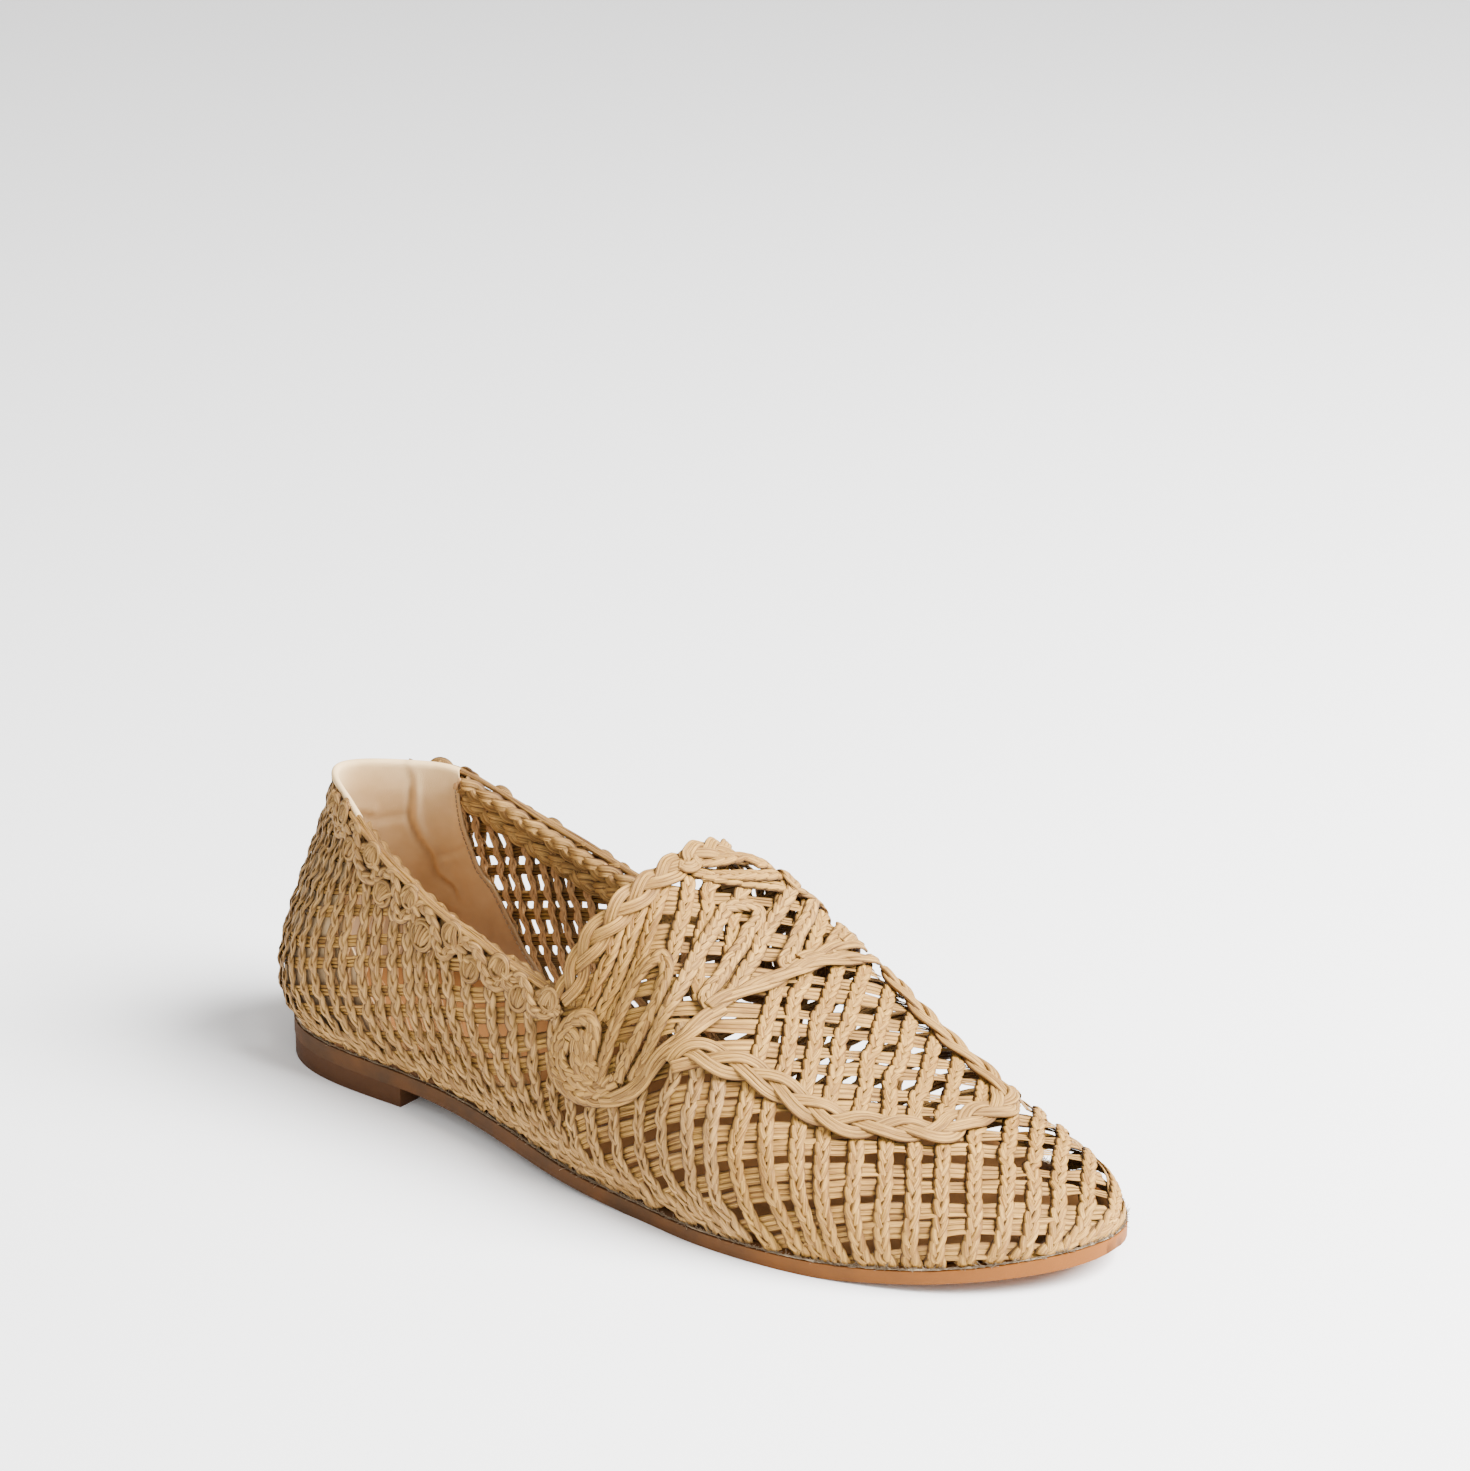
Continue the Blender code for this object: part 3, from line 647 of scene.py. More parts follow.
# The cords' plaits. A rear cord is thinner at the heel, and is seen again on the inside of
# the cross strips, in front of the lining.
VAMP_PLAIT = {"width": 4.7, "period": 17.0}
REAR_PLAIT = {"period": 13.0, "strands": 3, "thick": 0.5, "share": 0.56}
REAR_WIDTH = ((50, 90), (4.0, 4.7))
REAR_WIDTH_INNER = 4.1
REAR_WIDTH_INSIDE = 3.3
INSIDE_LIFT = -2.4
INSIDE_FIRST = 48
INNER_LAST = 130

# The cross strips: flat, of three filaments, narrower at the heel.
STRIP = {"period": 40.0, "lift": -1.15, "strands": 1, "thick": 0.4, "share": 1.0, "filaments": 3}
STRIP_WIDTH = ((50, 90), (2.9, 4.1))
STRIP_WIDTH_INNER = 3.3


def cord_run(cord, rise):
    """Stations of a cord of the outer half, at rises from 0 to 1."""
    return cord + steady(CORD_RISES, [curve(cord) for curve in DRIFT_CURVES])(rise)


def over_ridge(cord):
    """The route of a vamp cord from the outer foot over the ridge to the inner foot. Past
    the ridge it stays in one plane."""
    rise = np.linspace(0, 0.9995, 90)
    station = cord_run(cord, rise)
    heading = math.radians(np.interp(station[-1], [200, 262], [36, 33]))
    lean = math.radians(np.interp(station[-1], [225, 246, 270], [15, 6, 4]))
    plane = np.array([math.cos(heading), math.sin(heading), 0.0]) * math.cos(lean)
    plane = plane - CORD_UP * math.sin(lean)
    level = skin(station[-1], 1.0) @ plane
    ahead = np.linspace(110, 275.5, 332)
    far_rise = np.linspace(1.0005, 2.0, 80)
    far = []
    for height in far_rise:
        levels = skin(ahead, height) @ plane
        peak = int(np.argmax(levels)) + 1
        far.append(np.interp(level, levels[:peak], ahead[:peak]))
    return np.concatenate([station, far]), np.concatenate([rise, far_rise])


# Cords around the tip of the toe: the outer half of each, then its inner half.
TIP_CORDS = (
    ("268.8 0  270.8 .08  273 .2  274.6 .36  275.6 .5",
     "275.6 1.5  272 1.56  264 1.66  254 1.78  243 1.9  235 2"),
    ("272 0  274.2 .05  275.6 .12", "275.6 1.88  270 1.91  262 1.95  254 2"),
)


def foot_splay(route):
    """The lowest few millimetres of a cord, where it opens and is glued to the sole."""
    height = np.where(route[1] > 1, 2 - route[1], route[1])
    return np.clip(1 - height / 0.12, 0, 1)


def over_rows(route, amount):
    """A cord's height: it arches over each cross strip and sinks between two."""
    phase = (row_level(*route) - ROW_FIRST) / ROW_PITCH
    return -0.5 + amount * np.cos(2 * math.pi * phase)


def weave_cords():
    """The cords of the weave in groups: outer rear, inner rear, those two again on the inside
    of the cross strips, below the strap, the vamp and the tongue."""
    groups = defaultdict(list)
    for cord in map(float, CORD_STATIONS.split()):
        if cord < REAR_END:
            rise = np.linspace(0.0, 0.965, 80)
            sides = [("rear_outer", rise, np.interp(cord, *REAR_WIDTH))]
            if cord < INNER_LAST:
                sides.append(("rear_inner", 2 - rise, REAR_WIDTH_INNER))
            for group, height, width in sides:
                route = even_route(cord_run(cord, rise), height, 68)
                lift = over_rows(route, 0.26)
                splay = foot_splay(route)
                groups[group] += plait(laid(route), width, lift=lift, splay=splay, **REAR_PLAIT)
                if cord > INSIDE_FIRST:
                    groups[group + "_inside"] += plait(
                        laid(route), REAR_WIDTH_INSIDE, lift=INSIDE_LIFT - lift, **REAR_PLAIT
                    )
        elif cord < SIDE_END:
            rise = np.linspace(0.0, 0.5 if cord < 172 else 0.62, 60)
            route = even_route(cord_run(cord, rise), rise, 46)
            lift = over_rows(route, 0.28)
            groups["side"] += plait(laid(route), lift=lift, splay=foot_splay(route), **VAMP_PLAIT)
        else:
            route = even_route(*over_ridge(cord), 150)
            lift = over_rows(route, 0.2)
            groups["vamp"] += plait(laid(route), lift=lift, splay=foot_splay(route), **VAMP_PLAIT)
    for outer, inner in TIP_CORDS:
        halves = [laid(smooth_route(half, 90)) for half in (outer, inner)]
        joined = [np.concatenate(parts) for parts in zip(*halves)]
        groups["vamp"] += plait(evenly(*joined, 150), lift=-0.4, **VAMP_PLAIT)
    for _, route in named_routes(TONGUE_CORDS, 40):
        groups["tongue"] += plait(laid(route), width=4.6, period=17.0, lift=-0.45)
    return groups


def row_level(station, rise):
    """The level that the cross strips follow over the whole weave."""
    place = skin(station, rise)
    front = place @ ROW_TILT
    level = np.where(rise > 1, (place * (1, -1, 1)) @ ROW_TILT, front)
    rear = place @ ROW_TILT_REAR + ROW_REAR_SHIFT
    level = level + (rear - level) * np.clip((150 - station) / 60, 0, 1)
    on_apron = (rise > 1) & (rise < APRON_LIMIT(station))
    return np.where(on_apron, front - INNER_SHIFT, level)


def row_lines(part):
    """Lines of equal level on the outer half, on the inner half's apron or on its side, as
    lists of station and rise."""
    columns, rows = 170, 44
    bm = bmesh.new()
    bmesh.ops.create_grid(bm, x_segments=columns, y_segments=rows, size=1.0)
    share = np.array([v.co for v in bm.verts]) / 2 + 0.5
    station = 0.2 + (TOE - 0.5) * share[:, 0]
    highest = np.interp(station, *HIGHEST_ROW)
    rise = share[:, 1] * highest
    if part != "outer":
        rise = np.maximum(2 - rise, 1.0001)
    stays = {
        "outer": rise < 2,
        "apron": rise < APRON_LIMIT(station),
        "side": rise >= APRON_LIMIT(station),
    }[part]
    level = row_level(station, rise)
    for vert, spot in zip(bm.verts, np.stack([station, rise, level], -1)):
        vert.co = spot
    gone = [vert for vert, kept in zip(bm.verts, stays) if not kept]
    bmesh.ops.delete(bm, geom=gone, context="VERTS")
    lines = []
    for number in range(FIRST_APRON_ROW if part == "apron" else 0, ROW_COUNT):
        wanted = ROW_FIRST + ROW_PITCH * number
        wanted += ROW_PAIRING * (-1) ** (number + (part != "outer"))
        everything = bm.verts[:] + bm.edges[:] + bm.faces[:]
        cut = bmesh.ops.bisect_plane(
            bm, geom=everything, dist=1e-5, plane_co=(0, 0, wanted), plane_no=(0, 0, 1)
        )
        next_to = {}
        for edge in cut["geom_cut"]:
            if isinstance(edge, bmesh.types.BMEdge):
                first, second = edge.verts
                next_to.setdefault(first, []).append(second)
                next_to.setdefault(second, []).append(first)
        ends = [vert for vert in next_to if len(next_to[vert]) == 1]
        while ends:
            line = [ends.pop()]
            while True:
                onward = [vert for vert in next_to[line[-1]] if vert not in line[-2:]]
                if not onward:
                    break
                line.append(onward[0])
            if line[-1] in ends:
                ends.remove(line[-1])
            lines.append(np.array([vert.co[:2] for vert in line]))
    bm.free()
    return lines


def row_paths():
    """The cross strips of each half as paths; those that meet on the ridge are joined."""
    outer = [laid(line.T) for line in row_lines("outer")]
    inner = [laid(line.T) for line in row_lines("apron") + row_lines("side")]
    paths = []
    for points, off in outer:
        for number, (far_points, far_off) in enumerate(inner):
            for turn in (1, -1):
                for far_turn in (1, -1):
                    gap = np.linalg.norm(points[::turn][-1] - far_points[::far_turn][0])
                    if gap < 1.6 and abs(points[::turn][-1][1]) < 7:
                        points = np.concatenate([points[::turn], far_points[::far_turn]])
                        off = np.concatenate([off[::turn], far_off[::far_turn]])
                        inner[number] = (far_points[:1], far_off[:1])
        paths.append((points, off))
    return [[path for path in half if lengths_along(path[0])[-1] > 5] for half in (paths, inner)]


def cross_strips():
    """The strips of the outer half, which run on over the ridge, and of the inner half."""
    outer, inner = row_paths()
    near = []
    for points, off in outer:
        path = evenly(points, off, 110)
        near += plait(path, np.interp(path[0][:, 0], *STRIP_WIDTH), **STRIP)
    far = []
    for points, off in inner:
        far += plait(evenly(points, off, 90), STRIP_WIDTH_INNER, **STRIP)
    return near, far


cords = weave_cords()
upper = tubes("vamp_cords", cords["vamp"], 6, RAFFIA)
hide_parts("upper")
tubes("rear_cords_outer", cords["rear_outer"], 6, RAFFIA_SHADE_TINT)
tubes("rear_cords_inner", cords["rear_inner"], 6, RAFFIA_SHADE_TINT)
tubes("rear_cords_outer_inside", cords["rear_outer_inside"], 6, RAFFIA_INSIDE_PAINTED_LIGHT)
tubes("rear_cords_inner_inside", cords["rear_inner_inside"], 6, RAFFIA_INSIDE_PAINTED_LIGHT)
tubes("side_cords", cords["side"], 6, RAFFIA_SHADE_TINT)
tubes("tongue_cords", cords["tongue"], 6, RAFFIA)
strips_outer, strips_inner = cross_strips()
tubes("cross_strips_outer", strips_outer, 6, RAFFIA)
tubes("cross_strips_inner", strips_inner, 6, RAFFIA_SHADE_TINT)

# The apron seam, once around from the outer side to the inner side.
SEAM_ROUTE = """
180.5 0.487  187 0.550  191.5 0.575  207 0.625  220 0.650  229 0.745  237 0.870  238 1.000
239 1.125  237 1.260  230 1.335  218 1.345  205 1.360  195 1.420
"""

# Cords of the saddle strap: loops that climb from the lobe to the strap's rear edge and turn
# back, then the cords of its front edge. Those marked with a star are mirrored on the inner
# half.
STRAP_CORDS = """
lobe_loop* 132.6 .55 131.8 .656 135 .694 140.5 .681 145.3 .637 147.6 .575 148.4 .487 148.4 .419
lobe_rim* 129 .62 132.6 .506 138.9 .40 145.3 .344 151.2 .325 157.5 .325
lobe_mid* 138 .60 136.5 .53 140 .445 147 .385 153.9 .362 158.3 .381
lobe_fill* 136 .635 139.5 .615 142 .56 143 .50 146 .44 150.4 .40
lobe_core* 144.9 .60 146 .53 148.6 .46 152.5 .41
pair_low* 153.1 .375 153.5 .475 154.3 .575 156.7 .65 159.9 .70 163.8 .712 168.1 .710 171.1 .68 \
170 .631 166.2 .544 163 .487 160.6 .431 159.1 .375
pair_high 164.2 .362 168.1 .444 172.5 .544 179.2 .669 182.4 .787 183.1 .881 183.3 .969 \
182.8 1.04 184.4 1.075 187 1.05 188.6 1 189.5 .956 189.5 .875 189.1 .794 188.4 .725 191 .72
pair_far 164.2 1.638 168.1 1.556 172.5 1.456 177 1.36 178 1.28 176 1.22 171 1.24 166 1.30
long_cord 193 .781 193 .881 192.2 .975 189.1 1.056 181.2 1.181 173.3 1.256
turned_cord 177.2 1.294 183.9 1.238 191.4 1.119 195 1.038 196.6 1 197.4 1.03 197.4 1.08
short_cord 184.3 1.356 189.1 1.288 195.4 1.175
front_low* 155.1 .325 160.6 .325 166.6 .35 172.1 .425 180.8 .525 186.3 .612 189.9 .681 192.6 .744
front_high 189.9 .712 192.2 .769 195 .844 197 .925 197.7 1 197.7 1.081 197.4 1.194 195 1.338 \
192 1.42
front_top 197 1.05 195.8 1.144 193 1.269 190 1.37
"""
TONGUE_ROUTE = """
128.6 .93 133 .945 139 .965 149.5 .97 159.5 .972 165.5 .982 168 1
165.5 1.018 159.5 1.028 149.5 1.03 139 1.035 133 1.055 128.6 1.07
"""

# The three broad plaits of the trim, of strands that are bundles of fibres.
SEAM_PLAIT = {
    "width": 8.4, "period": 34.0, "strands": 3, "thick": 1.1, "share": 0.36, "filaments": 3,
}
TONGUE_PLAIT = {
    "width": 7.8, "period": 28.0, "strands": 3, "thick": 1.3, "share": 0.37, "filaments": 3,
}
STRAP_EDGE = {
    "width": 4.4, "period": 46.0, "strands": 3, "thick": 0.8, "share": 0.5, "filaments": 2,
}


def strap_strands():
    """Plaited cords of the strap; its front edge is of long smooth strands."""
    strands = []
    for name, route in named_routes(STRAP_CORDS, 100):
        if name.startswith("front"):
            strands += plait(laid(route), lift=1.1, **STRAP_EDGE)
        else:
            width = 4.9 if name.startswith("lobe") else 4.3
            strands += plait(laid(route), width, period=17.0, lift=0.7, thick=0.6)
    return strands


def tongue_strands():
    """The braid along the tongue's edge, fuller where it turns down on the inner side."""
    route = smooth_route(TONGUE_ROUTE, 200)
    raised = np.interp(route[1], [0.97, 1.0, 1.02, 1.04, 1.07], [0, 0.4, 1.0, 1.0, 0.2])
    return plait(laid(route), lift=0.4 + 0.7 * raised, **TONGUE_PLAIT)


seam_strands = plait(laid(smooth_route(SEAM_ROUTE, 240)), lift=0.9, **SEAM_PLAIT)
seam = tubes("apron_plait", seam_strands, 8, RAFFIA_TRIM)
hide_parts("apron_seam")
strap = tubes("strap_cords", strap_strands(), 7, RAFFIA_TRIM)
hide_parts("saddle_strap")
braid = tubes("tongue_plait", tongue_strands(), 8, RAFFIA_TRIM)
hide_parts("tongue_braid")

# The collar's crocheted band: two plaited cords that wave around small coils lying by turns
# low and high, broad plaits on its back, and a smooth cord along the edge.
COLLAR_LOWER = steady([0, 16, 26, 45, 70, 93, 108, 126],
                      [0.945, 0.94, 0.85, 0.83, 0.775, 0.72, 0.74, 0.78])
COLLAR_PERIOD = 17.0
WAVE_PLAIT = {"width": 3.9, "period": 10.5, "strands": 3, "thick": 0.75, "share": 0.5}
WAVE_START = 9
BACK_PLAIT = {
    "width": 5.6, "period": 15.0, "strands": 3, "thick": 1.3, "share": 0.5, "filaments": 2,
}
BACK_DEPTH = 2.5
COIL_RADIUS = 3.2
COIL_LIFT = 1.5
COIL_DROP = 0.42


def coil(centre, along, up, off, radius, fan):
    """A flat coil with strands fanned out across it, as lists of points; fan is 1 where they
    open upwards and -1 where they open downwards."""
    sweep = np.linspace(0, 2.3 * math.pi, 30) + CHANCE.random() * 6
    grown = np.linspace(0.8, 1.0, 30) * radius
    ring = centre + along * (grown * np.cos(sweep))[:, None]
    ring = ring + up * (1.1 * grown * np.sin(sweep))[:, None]
    lines = [ring + off * (COIL_LIFT + np.linspace(0.1, -0.35, 30))[:, None]]
    share = np.linspace(-1, 1, 30)
    for step in (-0.75, -0.38, 0.0, 0.38, 0.75):
        bend, tilt, height = CHANCE.standard_normal(3)
        arch = COIL_LIFT + 0.2 * height - 0.9 * share**2
        fanned = step * (0.68 + fan * 0.42 * share) + 0.08 * tilt * share + 0.08 * bend * share**2
        line = centre + along * (radius * fanned)[:, None]
        lines.append(line + up * (0.92 * radius * share)[:, None] + off * arch[:, None])
    return lines


def uneven(run, gap):
    """A slow random sway along a path."""
    knots = np.arange(0, run[-1] + gap, gap)
    return spline(knots, CHANCE.standard_normal(len(knots)))(run)


def collar_strands():
    """The waves and coils of both bands, the plaits on their backs, and the edge cord."""
    waves = []
    coils = []
    backs = []
    for inner in (False, True):
        station = np.linspace(20, 127, 300)
        lower = COLLAR_LOWER(station)
        half_band = np.linalg.norm(skin(station, lower) - skin(station, 0.999), axis=-1) / 2
        height = (lower + 1) / 2
        route = even_route(station, 2 - height if inner else height, 240)
        half_band = np.interp(route[0], station, half_band)
        points, off = laid(route)
        up = beside(points, off) * (1 if inner else -1)
        along = unit(np.gradient(points, axis=0))
        run = lengths_along(points)
        turn = 2 * math.pi * run / COLLAR_PERIOD + 0.35 * uneven(run, 7)
        for reach, height in ((0.6, 1.1), (-0.35, 0.8)):
            sway = -reach * half_band * np.cos(turn + 0.2 * uneven(run, 6)) + 0.3 * uneven(run, 5)
            over = height + 0.35 * np.sin(turn) * np.sign(reach) + 0.15 * uneven(run, 5)
            begun = np.clip(run / WAVE_START, 0, 1)
            sway = sway * begun - 1.2 * (1 - begun)
            middle = points + up * sway[:, None] + off * over[:, None]
            waves += plait(evenly(middle, off, 300), lift=0.0, **WAVE_PLAIT)
        for number, spot in enumerate(np.arange(1.0, run[-1] - 2, COLLAR_PERIOD / 2)):
            at = int(np.argmin(np.abs(run - spot)))
            drop = COIL_DROP if number % 2 == 0 else -COIL_DROP
            centre = points[at] + up[at] * drop * half_band[at]
            radius = COIL_RADIUS * (1 + 0.1 * CHANCE.standard_normal())
            for line in coil(centre, along[at], up[at], off[at], radius, -np.sign(drop)):
                coils.append((line, np.broadcast_to(off[at], line.shape), 0.8, 0.42, 0.0))
        station = np.linspace(47, 126, 300)
        for share in (0.3, 0.72):
            height = COLLAR_LOWER(station) + share * (1 - COLLAR_LOWER(station))
            route = even_route(station, 2 - height if inner else height, 200)
            points, off = laid(route)
            backs += plait((points - off * BACK_DEPTH, -off), lift=0.0, **BACK_PLAIT)
    station = np.linspace(127, 38, 200)
    edge = []
    for rise in (0.985, 1.015):
        points, off = laid((station, np.full(200, rise)))
        run = lengths_along(points)
        for step, drop in ((-0.5, 0.3), (0.6, -0.2)):
            line = points + off * (step + 0.2 * uneven(run, 8))[:, None]
            line = line + UP * (drop + 0.2 * uneven(run, 8) - 0.3)[:, None]
            edge.append((line, off, 0.75, 0.7, 0.2))
    return waves, coils, backs, edge


collar_waves, collar_coils, collar_backs, collar_edge = collar_strands()
collar = tubes("collar_waves", collar_waves, 7, RAFFIA_KNOTS)
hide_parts("collar_trim")
tubes("collar_coils", collar_coils, 6, RAFFIA_KNOTS)
tubes("collar_backs", collar_backs, 6, RAFFIA_KNOTS)
tubes("collar_edge", collar_edge, 8, RAFFIA_TRIM)


def leather(name, light, dark, rough, grain, shine):
    """Smooth leather: cloudy, with a fine grain, and painted lighter to the toe: painted light on
    the lit toe against painted shade in the middle.
    """
    finish = Finish(name)
    place = finish.place()
    cloud = place.noise(90.0, 3.0, 0.6)
    fine = place.noise(grain, 2.0, 0.6)
    # painted light and shade: the colour runs from the shaded middle's dark to the lit toe's light
    forward = place.part("X").held(0.03, 0.12)
    tone = forward * 0.75 + cloud.held(0.3, 0.7) * 0.25
    finish.set(base_color=tone.mixed(dark, light), roughness=rough)
    finish.shine(shine)
    finish.bump(fine, 0.00012, 0.6)
    return finish.material


def suede():
    """Cream suede, painted darker brown deeper in the shoe and darker in its creases, both painted
    shade.
    """
    finish = Finish("suede")
    place = finish.place()
    deep = finish.mark("height", "Fac")
    cloud = place.noise(70.0, 3.0, 0.6).held(0.3, 0.7)
    nap = place.noise(5200.0, 2.0, 0.6)
    pale = cloud.mixed((0.66, 0.445, 0.215), (0.79, 0.56, 0.295))
    # painted shade: the lower lining turns brown where shade falls inside the shoe
    painted_shade_brown = cloud.mixed((0.25, 0.150, 0.078), (0.31, 0.195, 0.110))
    colour = deep.held(0.08, 1.0).mixed(painted_shade_brown, pale)
    # painted shade: the creases are darkened toward dark brown
    painted_crease_shade = finish.mark("crease", "Fac") * 0.6
    finish.set(base_color=painted_crease_shade.mixed(colour, (0.16, 0.075, 0.026)), roughness=0.95)
    finish.shine(0.1)
    finish.bump(nap, 0.00015, 0.7)
    return finish.material


# The sole's light is the painted light of the lit toe, its dark the painted shade of the middle.
SOLE_LEATHER = leather(
    "sole_leather", (0.23, 0.078, 0.013), (0.064, 0.032, 0.014), 0.6, 2600.0, 0.12
)
HEEL_LEATHER = leather(
    "heel_leather", (0.10, 0.040, 0.013), (0.066, 0.027, 0.010), 0.6, 2600.0, 0.12
)
INSOLE_LEATHER = leather(
    "insole_leather", (0.22, 0.098, 0.030), (0.20, 0.085, 0.024), 0.65, 3000.0, 0.15
)
SUEDE = suede()


def grid_piece(name, columns, rows, place, marks, material, thickness):
    """A sheet whose corners are placed by a function of column and row shares; another
    function gives its named marks."""
    bm = bmesh.new()
    bmesh.ops.create_grid(bm, x_segments=columns, y_segments=rows, size=1.0)
    column = np.array([(v.co.x + 1) / 2 for v in bm.verts])
    row = np.array([(v.co.y + 1) / 2 for v in bm.verts])
    for mark, values in marks(column, row).items():
        layer = bm.verts.layers.float.new(mark)
        for vert, value in zip(bm.verts, values):
            vert[layer] = value
    for vert, spot in zip(bm.verts, place(column, row)):
        vert.co = Vector((spot - ORIGIN) * MM)
    for face in bm.faces:
        face.smooth = True
    bmesh.ops.recalc_face_normals(bm, faces=bm.faces)
    bmesh.ops.solidify(bm, geom=bm.faces[:], thickness=thickness * MM)
    bmesh.ops.recalc_face_normals(bm, faces=bm.faces)
    return piece_of(name, finished(bm, name), material)


# The front edge of the suede heel lining, by height from the sole to the collar.
LINING_EDGE = steady([0, 0.135, 0.22, 0.335, 0.455, 0.54, 0.64, 0.785, 0.88, 1.0],
                     [84, 77.5, 70.5, 64, 58.5, 52, 49, 45.2, 44.5, 44.8])
# It lies closer to the cords at the back, its edges clear the inside cords in front, and its
# top edge rolls over the collar.
LINING_LIFT = -3.0
LINING_LIFT_BACK = -2.3
LINING_ROLL = 1.0
ROLL_MIDDLE = -0.8
ROLL_START = 0.9
ROLL_APPROACH = 0.8
WALL_HEIGHT = 66

# Creases of the lining, as pairs of distance from the heel's middle, inner side positive, and
# height, with the depth and the width of each.
CREASES = (
    ("20 1.0  21.8 .93  22 .76  25 .66  29.8 .56  32 .455  38.8 .385  42 .30", 0.6, 1.2),
    ("22 .78  14 .74  6 .75  -4 .72", 0.25, 1.6),
    ("30 .56  40 .60  46 .66", 0.25, 1.5),
    ("10 .45  18 .36  30 .30  44 .22", 0.4, 1.8),
)


def crease_depth(side, height):
    """How far the creases lift the lining off the wall, and how near each point lies to one."""
    total = np.zeros_like(side)
    line_mark = np.zeros_like(side)
    for text, depth, width in CREASES:
        pairs = pairs_of(text)
        line_run = np.linspace(0, len(pairs) - 1, 60)
        sides, heights = [np.interp(line_run, range(len(pairs)), values) for values in pairs.T]
        apart = np.hypot(side[:, None] - sides, WALL_HEIGHT * (height[:, None] - heights))
        near = np.argmin(apart, 1)
        across = np.sign(side - sides[near]) * np.min(apart, 1)
        fade = np.clip(np.minimum(near + 4, 59 - near) / 9, 0, 1)
        valley = np.exp(-((across / (0.8 * width)) ** 2))
        ridge = 0.8 * np.exp(-(((across - 1.7 * width) / width) ** 2))
        total += depth * fade * (ridge - valley)
        line_mark = np.maximum(line_mark, depth * fade * valley)
    return total, line_mark


def lining_spot(column, row):
    """Where a corner of the lining lies: its distance from the heel's middle, inner side
    positive, and its height."""
    height = 0.03 + 0.955 * np.minimum(row / ROLL_START, 1)
    return (2 * column - 1) * LINING_EDGE(height), height


def lining_place(column, row):
    """The lining against the wall, its top edge rolled over the collar."""
    side, height = lining_spot(column, row)
    station = np.abs(side)
    rise = np.where(side > 0, 2 - height, height)
    lift = np.interp(station, [38, 47], [LINING_LIFT_BACK, LINING_LIFT])
    flat = skin(station, rise, lift - crease_depth(side, height)[0])
    middle = skin(station, rise, ROLL_MIDDLE)
    off = unit(skin(station, rise, 1.0) - middle)
    row = row[:, None]
    turn = np.clip((row - ROLL_START) / (1 - ROLL_START), 0, 1) * math.pi
    rolled = middle - off * np.cos(turn) * LINING_ROLL + UP * np.sin(turn) * LINING_ROLL
    start = middle - off * LINING_ROLL
    nearing = np.clip((row - ROLL_APPROACH) / (ROLL_START - ROLL_APPROACH), 0, 1)
    return np.where(row > ROLL_START, rolled, flat + (start - flat) * nearing)


def lining_marks(column, row):
    """Each corner's height and its nearness to a crease."""
    side, height = lining_spot(column, row)
    return {"height": height, "crease": crease_depth(side, height)[1]}


lining = grid_piece(
    "heel_lining", 150, 64, lining_place, lining_marks, SUEDE, 0.5
)


def lining_stitches():
    """Stitches along the hem at the front edge of the lining."""
    strands = []
    for inner in (False, True):
        height = np.linspace(0.1, 0.93, 300)
        rise = 2 - height if inner else height
        line = skin(LINING_EDGE(height) - 1.6, rise, LINING_LIFT - 0.35)
        off = unit(skin(LINING_EDGE(height) - 1.6, rise, LINING_LIFT - 1.35) - line)
        points, off = evenly(line, off, 281)
        for first in range(0, 276, 7):
            one = slice(first, first + 6)
            arch = 0.2 * np.sin(math.pi * np.linspace(0, 1, 6))
            strands.append((points[one] + off[one] * arch[:, None], off[one], 0.2, 0.15, 0.2))
    return strands


SOLE_WELT = 0.8
HEEL_BREAST = 76.0
JOINT_GAP = 0.3


def slab(name, stations, margin, top_height, under_height, material, round_edge):
    """A board between two heights, with the outline of the sole edge and a margin."""
    columns = len(stations) - 1
    outer = foot(-stations)[:, :2] + outward(-stations) * margin
    inner = foot(stations)[:, :2] + outward(stations) * margin
    bm = bmesh.new()
    for heights in (top_height, under_height):
        made = bmesh.ops.create_grid(bm, x_segments=columns, y_segments=6, size=1.0)
        for vert in made["verts"]:
            column = round((vert.co.x + 1) / 2 * columns)
            share = (vert.co.y + 1) / 2
            spot = outer[column] + (inner[column] - outer[column]) * share
            vert.co = Vector((np.append(spot, heights[column]) - ORIGIN) * MM)
    bmesh.ops.remove_doubles(bm, verts=bm.verts, dist=0.02 * MM)
    rim = [edge for edge in bm.edges if edge.is_boundary]
    bmesh.ops.bridge_loops(bm, edges=rim)
    bmesh.ops.recalc_face_normals(bm, faces=bm.faces)
    sharp = [edge for edge in bm.edges if edge.is_manifold and edge.calc_face_angle() > 0.9]
    bmesh.ops.bevel(
        bm, geom=sharp, offset=round_edge * MM, segments=3, affect="EDGES", profile=0.5,
        material=-1, clamp_overlap=True,
    )
    for face in bm.faces:
        face.smooth = True
    return piece_of(name, finished(bm, name), material)


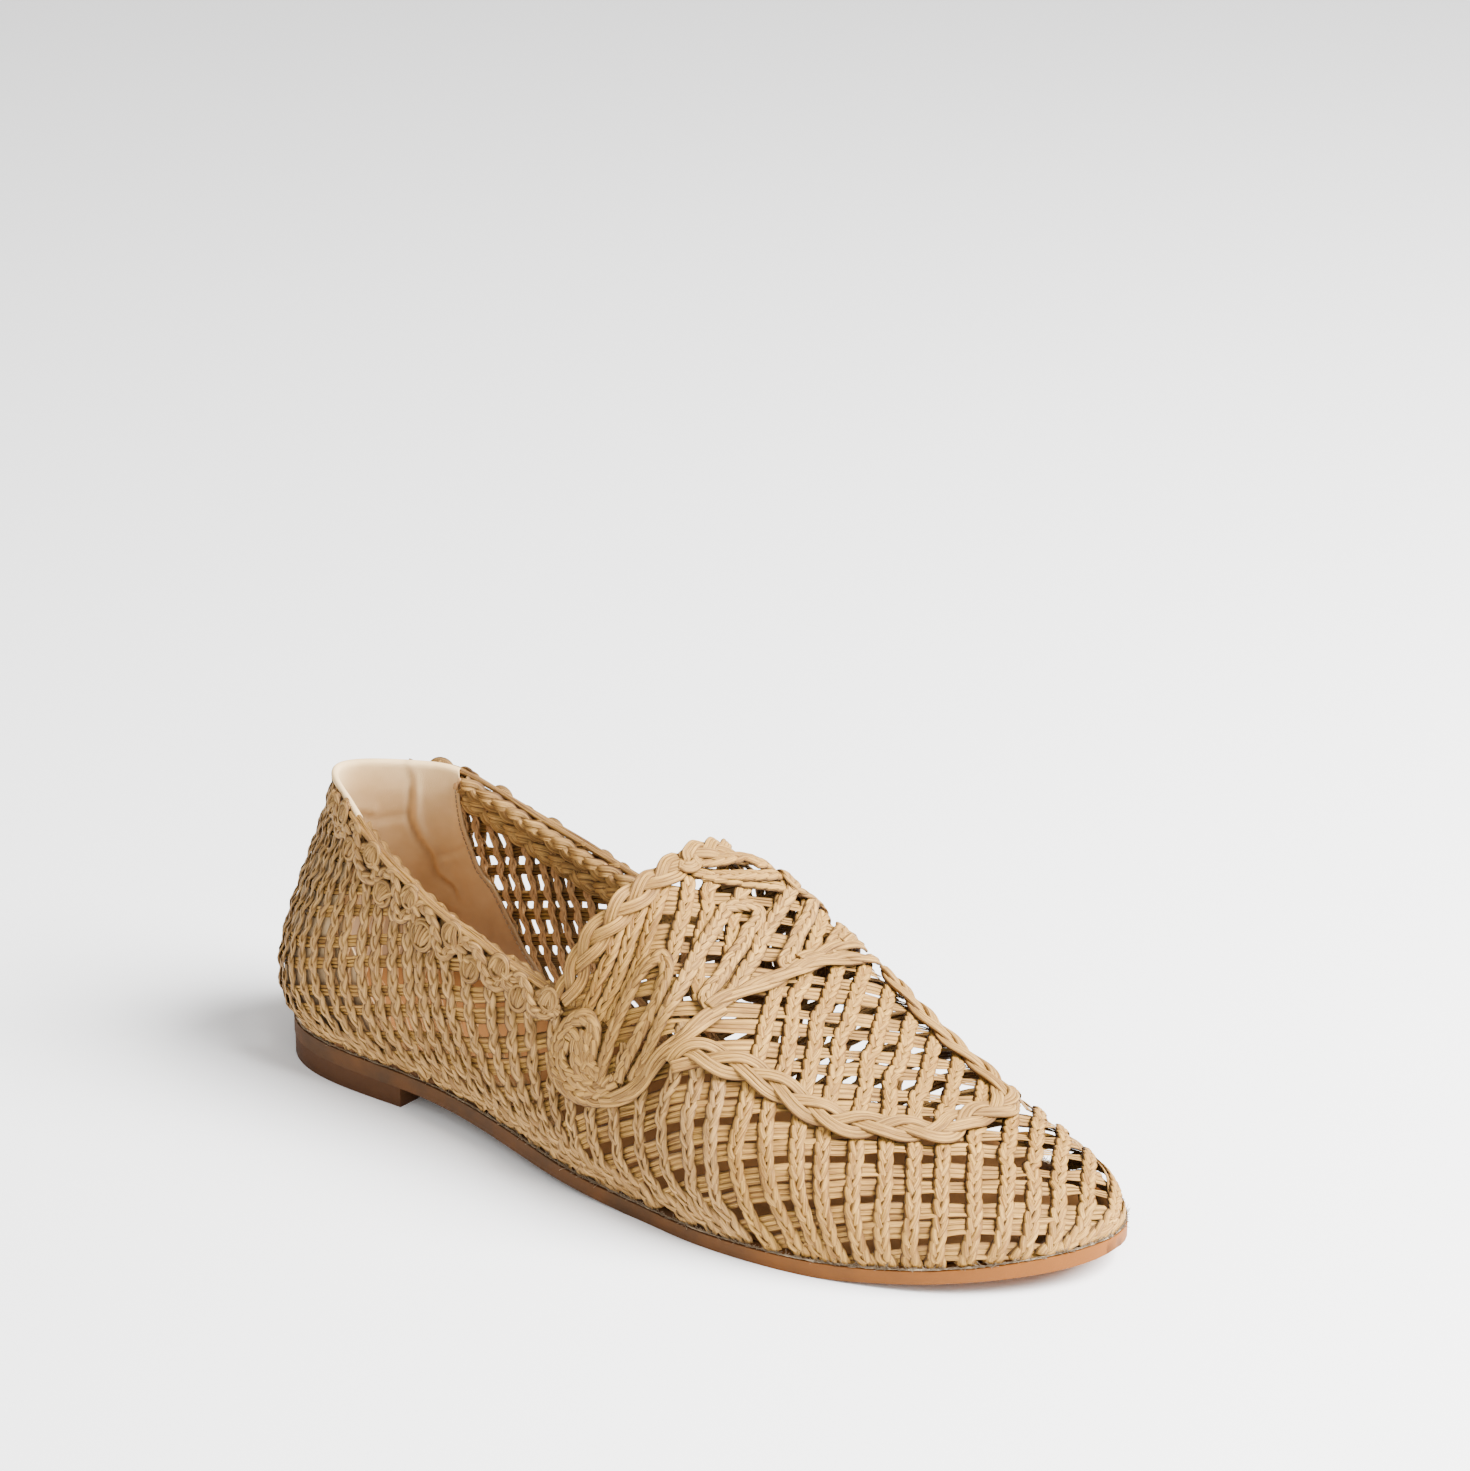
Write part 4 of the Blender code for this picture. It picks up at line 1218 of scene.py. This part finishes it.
sole_stations = np.linspace(0, TOE, 120)
sole_under = np.maximum(SOLE_UNDER(sole_stations), 0.0)
outsole = slab(
    "leather_sole", sole_stations, SOLE_WELT, FOOT[2](sole_stations) - JOINT_GAP, sole_under,
    SOLE_LEATHER, 0.6,
)
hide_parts("outsole")
heel_stations = np.linspace(0, HEEL_BREAST, 40)
heel = slab(
    "leather_heel", heel_stations, SOLE_WELT - 0.2,
    np.maximum(SOLE_UNDER(heel_stations), 0.0) - JOINT_GAP * 0.2, 0 * heel_stations,
    HEEL_LEATHER, 0.5,
)
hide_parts("heel_block")
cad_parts["insole"].data.materials[0] = INSOLE_LEATHER


def glue_line():
    """The pale line of glue where the cords are lasted onto the sole, widest at the toe."""
    side = np.linspace(-TOE + 0.5, TOE - 0.5, 900)
    ruffle = np.convolve(CHANCE.standard_normal(920), np.ones(7) / 3, "same")[:900]
    low = foot(side)
    out = np.concatenate([outward(side), np.zeros((900, 1))], -1)
    toe = np.interp(np.abs(side), [150, 225], [0.25, 1.0])
    points = low + out * (0.1 + 0.10 * ruffle)[:, None] - 0.05 * UP
    half = np.clip(0.02 + 0.32 * toe**2 + 0.2 * toe * ruffle, 0.03, 0.7)
    return [(points, out, half, 0.3, 0.3)]


def foot_fibres():
    """Short cut fibres standing in the glue."""
    strands = []
    for number in range(1500):
        reach = TOE - 1 - 170 * CHANCE.random() ** 1.5 if number < 1000 else 275 * CHANCE.random()
        side = reach if CHANCE.random() < 0.5 else -reach
        out = np.append(outward(side), 0.0)
        along = np.cross(out, UP)
        aim = along * CHANCE.standard_normal() + out * 0.4 * CHANCE.random()
        aim = unit(aim + UP * 0.5 * CHANCE.random())
        start = foot(side) + out * (0.1 + 0.4 * CHANCE.random())
        start = start + UP * (0.5 * CHANCE.random() - 0.1)
        run = np.linspace(0, 0.7 + 1.3 * CHANCE.random(), 4)[:, None]
        bent = start + aim * run + UP * 0.12 * run**2 * CHANCE.standard_normal()
        strands.append((bent, np.broadcast_to(out, bent.shape), 0.09, 0.07, 0.3))
    return strands


GLUE = raffia("glue", (0.50, 0.40, 0.27), (0.30, 0.21, 0.12), (0.2, 0.12, 0.06))
tubes("glue_line", glue_line(), 6, GLUE)
tubes("foot_fibres", foot_fibres(), 3, GLUE)
tubes("lining_stitches", lining_stitches(), 5, GLUE)

# Stage: pale floor, soft studio light, and a camera on the photo's view.
CAMERA_AIM = Vector((0.0002, -0.0001, 0.035))
CAMERA_BACK = Vector((0.5614, -0.7145, 0.4176))
CAMERA_DISTANCE = 1.3
LAMP_AIM = Vector((0, 0, 0.03))


def add_stage():
    """The floor, the studio's light, the two lamps and the camera."""
    bm = bmesh.new()
    bmesh.ops.create_grid(bm, x_segments=1, y_segments=1, size=3.0)
    mesh = finished(bm, "floor")
    floor = bpy.data.objects.new("floor", mesh)
    bpy.context.scene.collection.objects.link(floor)
    plain = Finish("floor_white")
    plain.set(base_color=(0.94, 0.94, 0.94, 1.0), roughness=0.9)
    mesh.materials.append(plain.material)
    world = bpy.data.worlds.new("studio")
    world.use_nodes = True
    world.node_tree.nodes["Background"].inputs["Color"].default_value = (1.0, 0.99, 0.975, 1.0)
    world.node_tree.nodes["Background"].inputs["Strength"].default_value = 0.65
    bpy.context.scene.world = world
    lights = (
        ("key", (0.85, 0.35, 1.0), 0.95, 122.0),
        ("fill", (0.5, -1.0, 0.9), 1.2, 10.0),
    )
    for name, place, size, power in lights:
        lamp = bpy.data.lights.new(name, "AREA")
        lamp.size = size
        lamp.energy = power
        holder = bpy.data.objects.new(name, lamp)
        holder.location = place
        to_shoe = LAMP_AIM - Vector(place)
        holder.rotation_euler = to_shoe.to_track_quat("-Z", "Y").to_euler()
        bpy.context.scene.collection.objects.link(holder)
    view = bpy.data.cameras.new("photo_view")
    view.lens = 125.26
    view.sensor_width = 36.0
    view.shift_x = 0.0336
    view.shift_y = 0.1912
    view.clip_start = 0.05
    view.clip_end = 20.0
    view.dof.use_dof = False
    camera = bpy.data.objects.new("photo_view", view)
    camera.location = CAMERA_AIM + CAMERA_BACK * CAMERA_DISTANCE
    camera.rotation_euler = (-CAMERA_BACK).to_track_quat("-Z", "Y").to_euler()
    bpy.context.scene.collection.objects.link(camera)
    bpy.context.scene.camera = camera


add_stage()
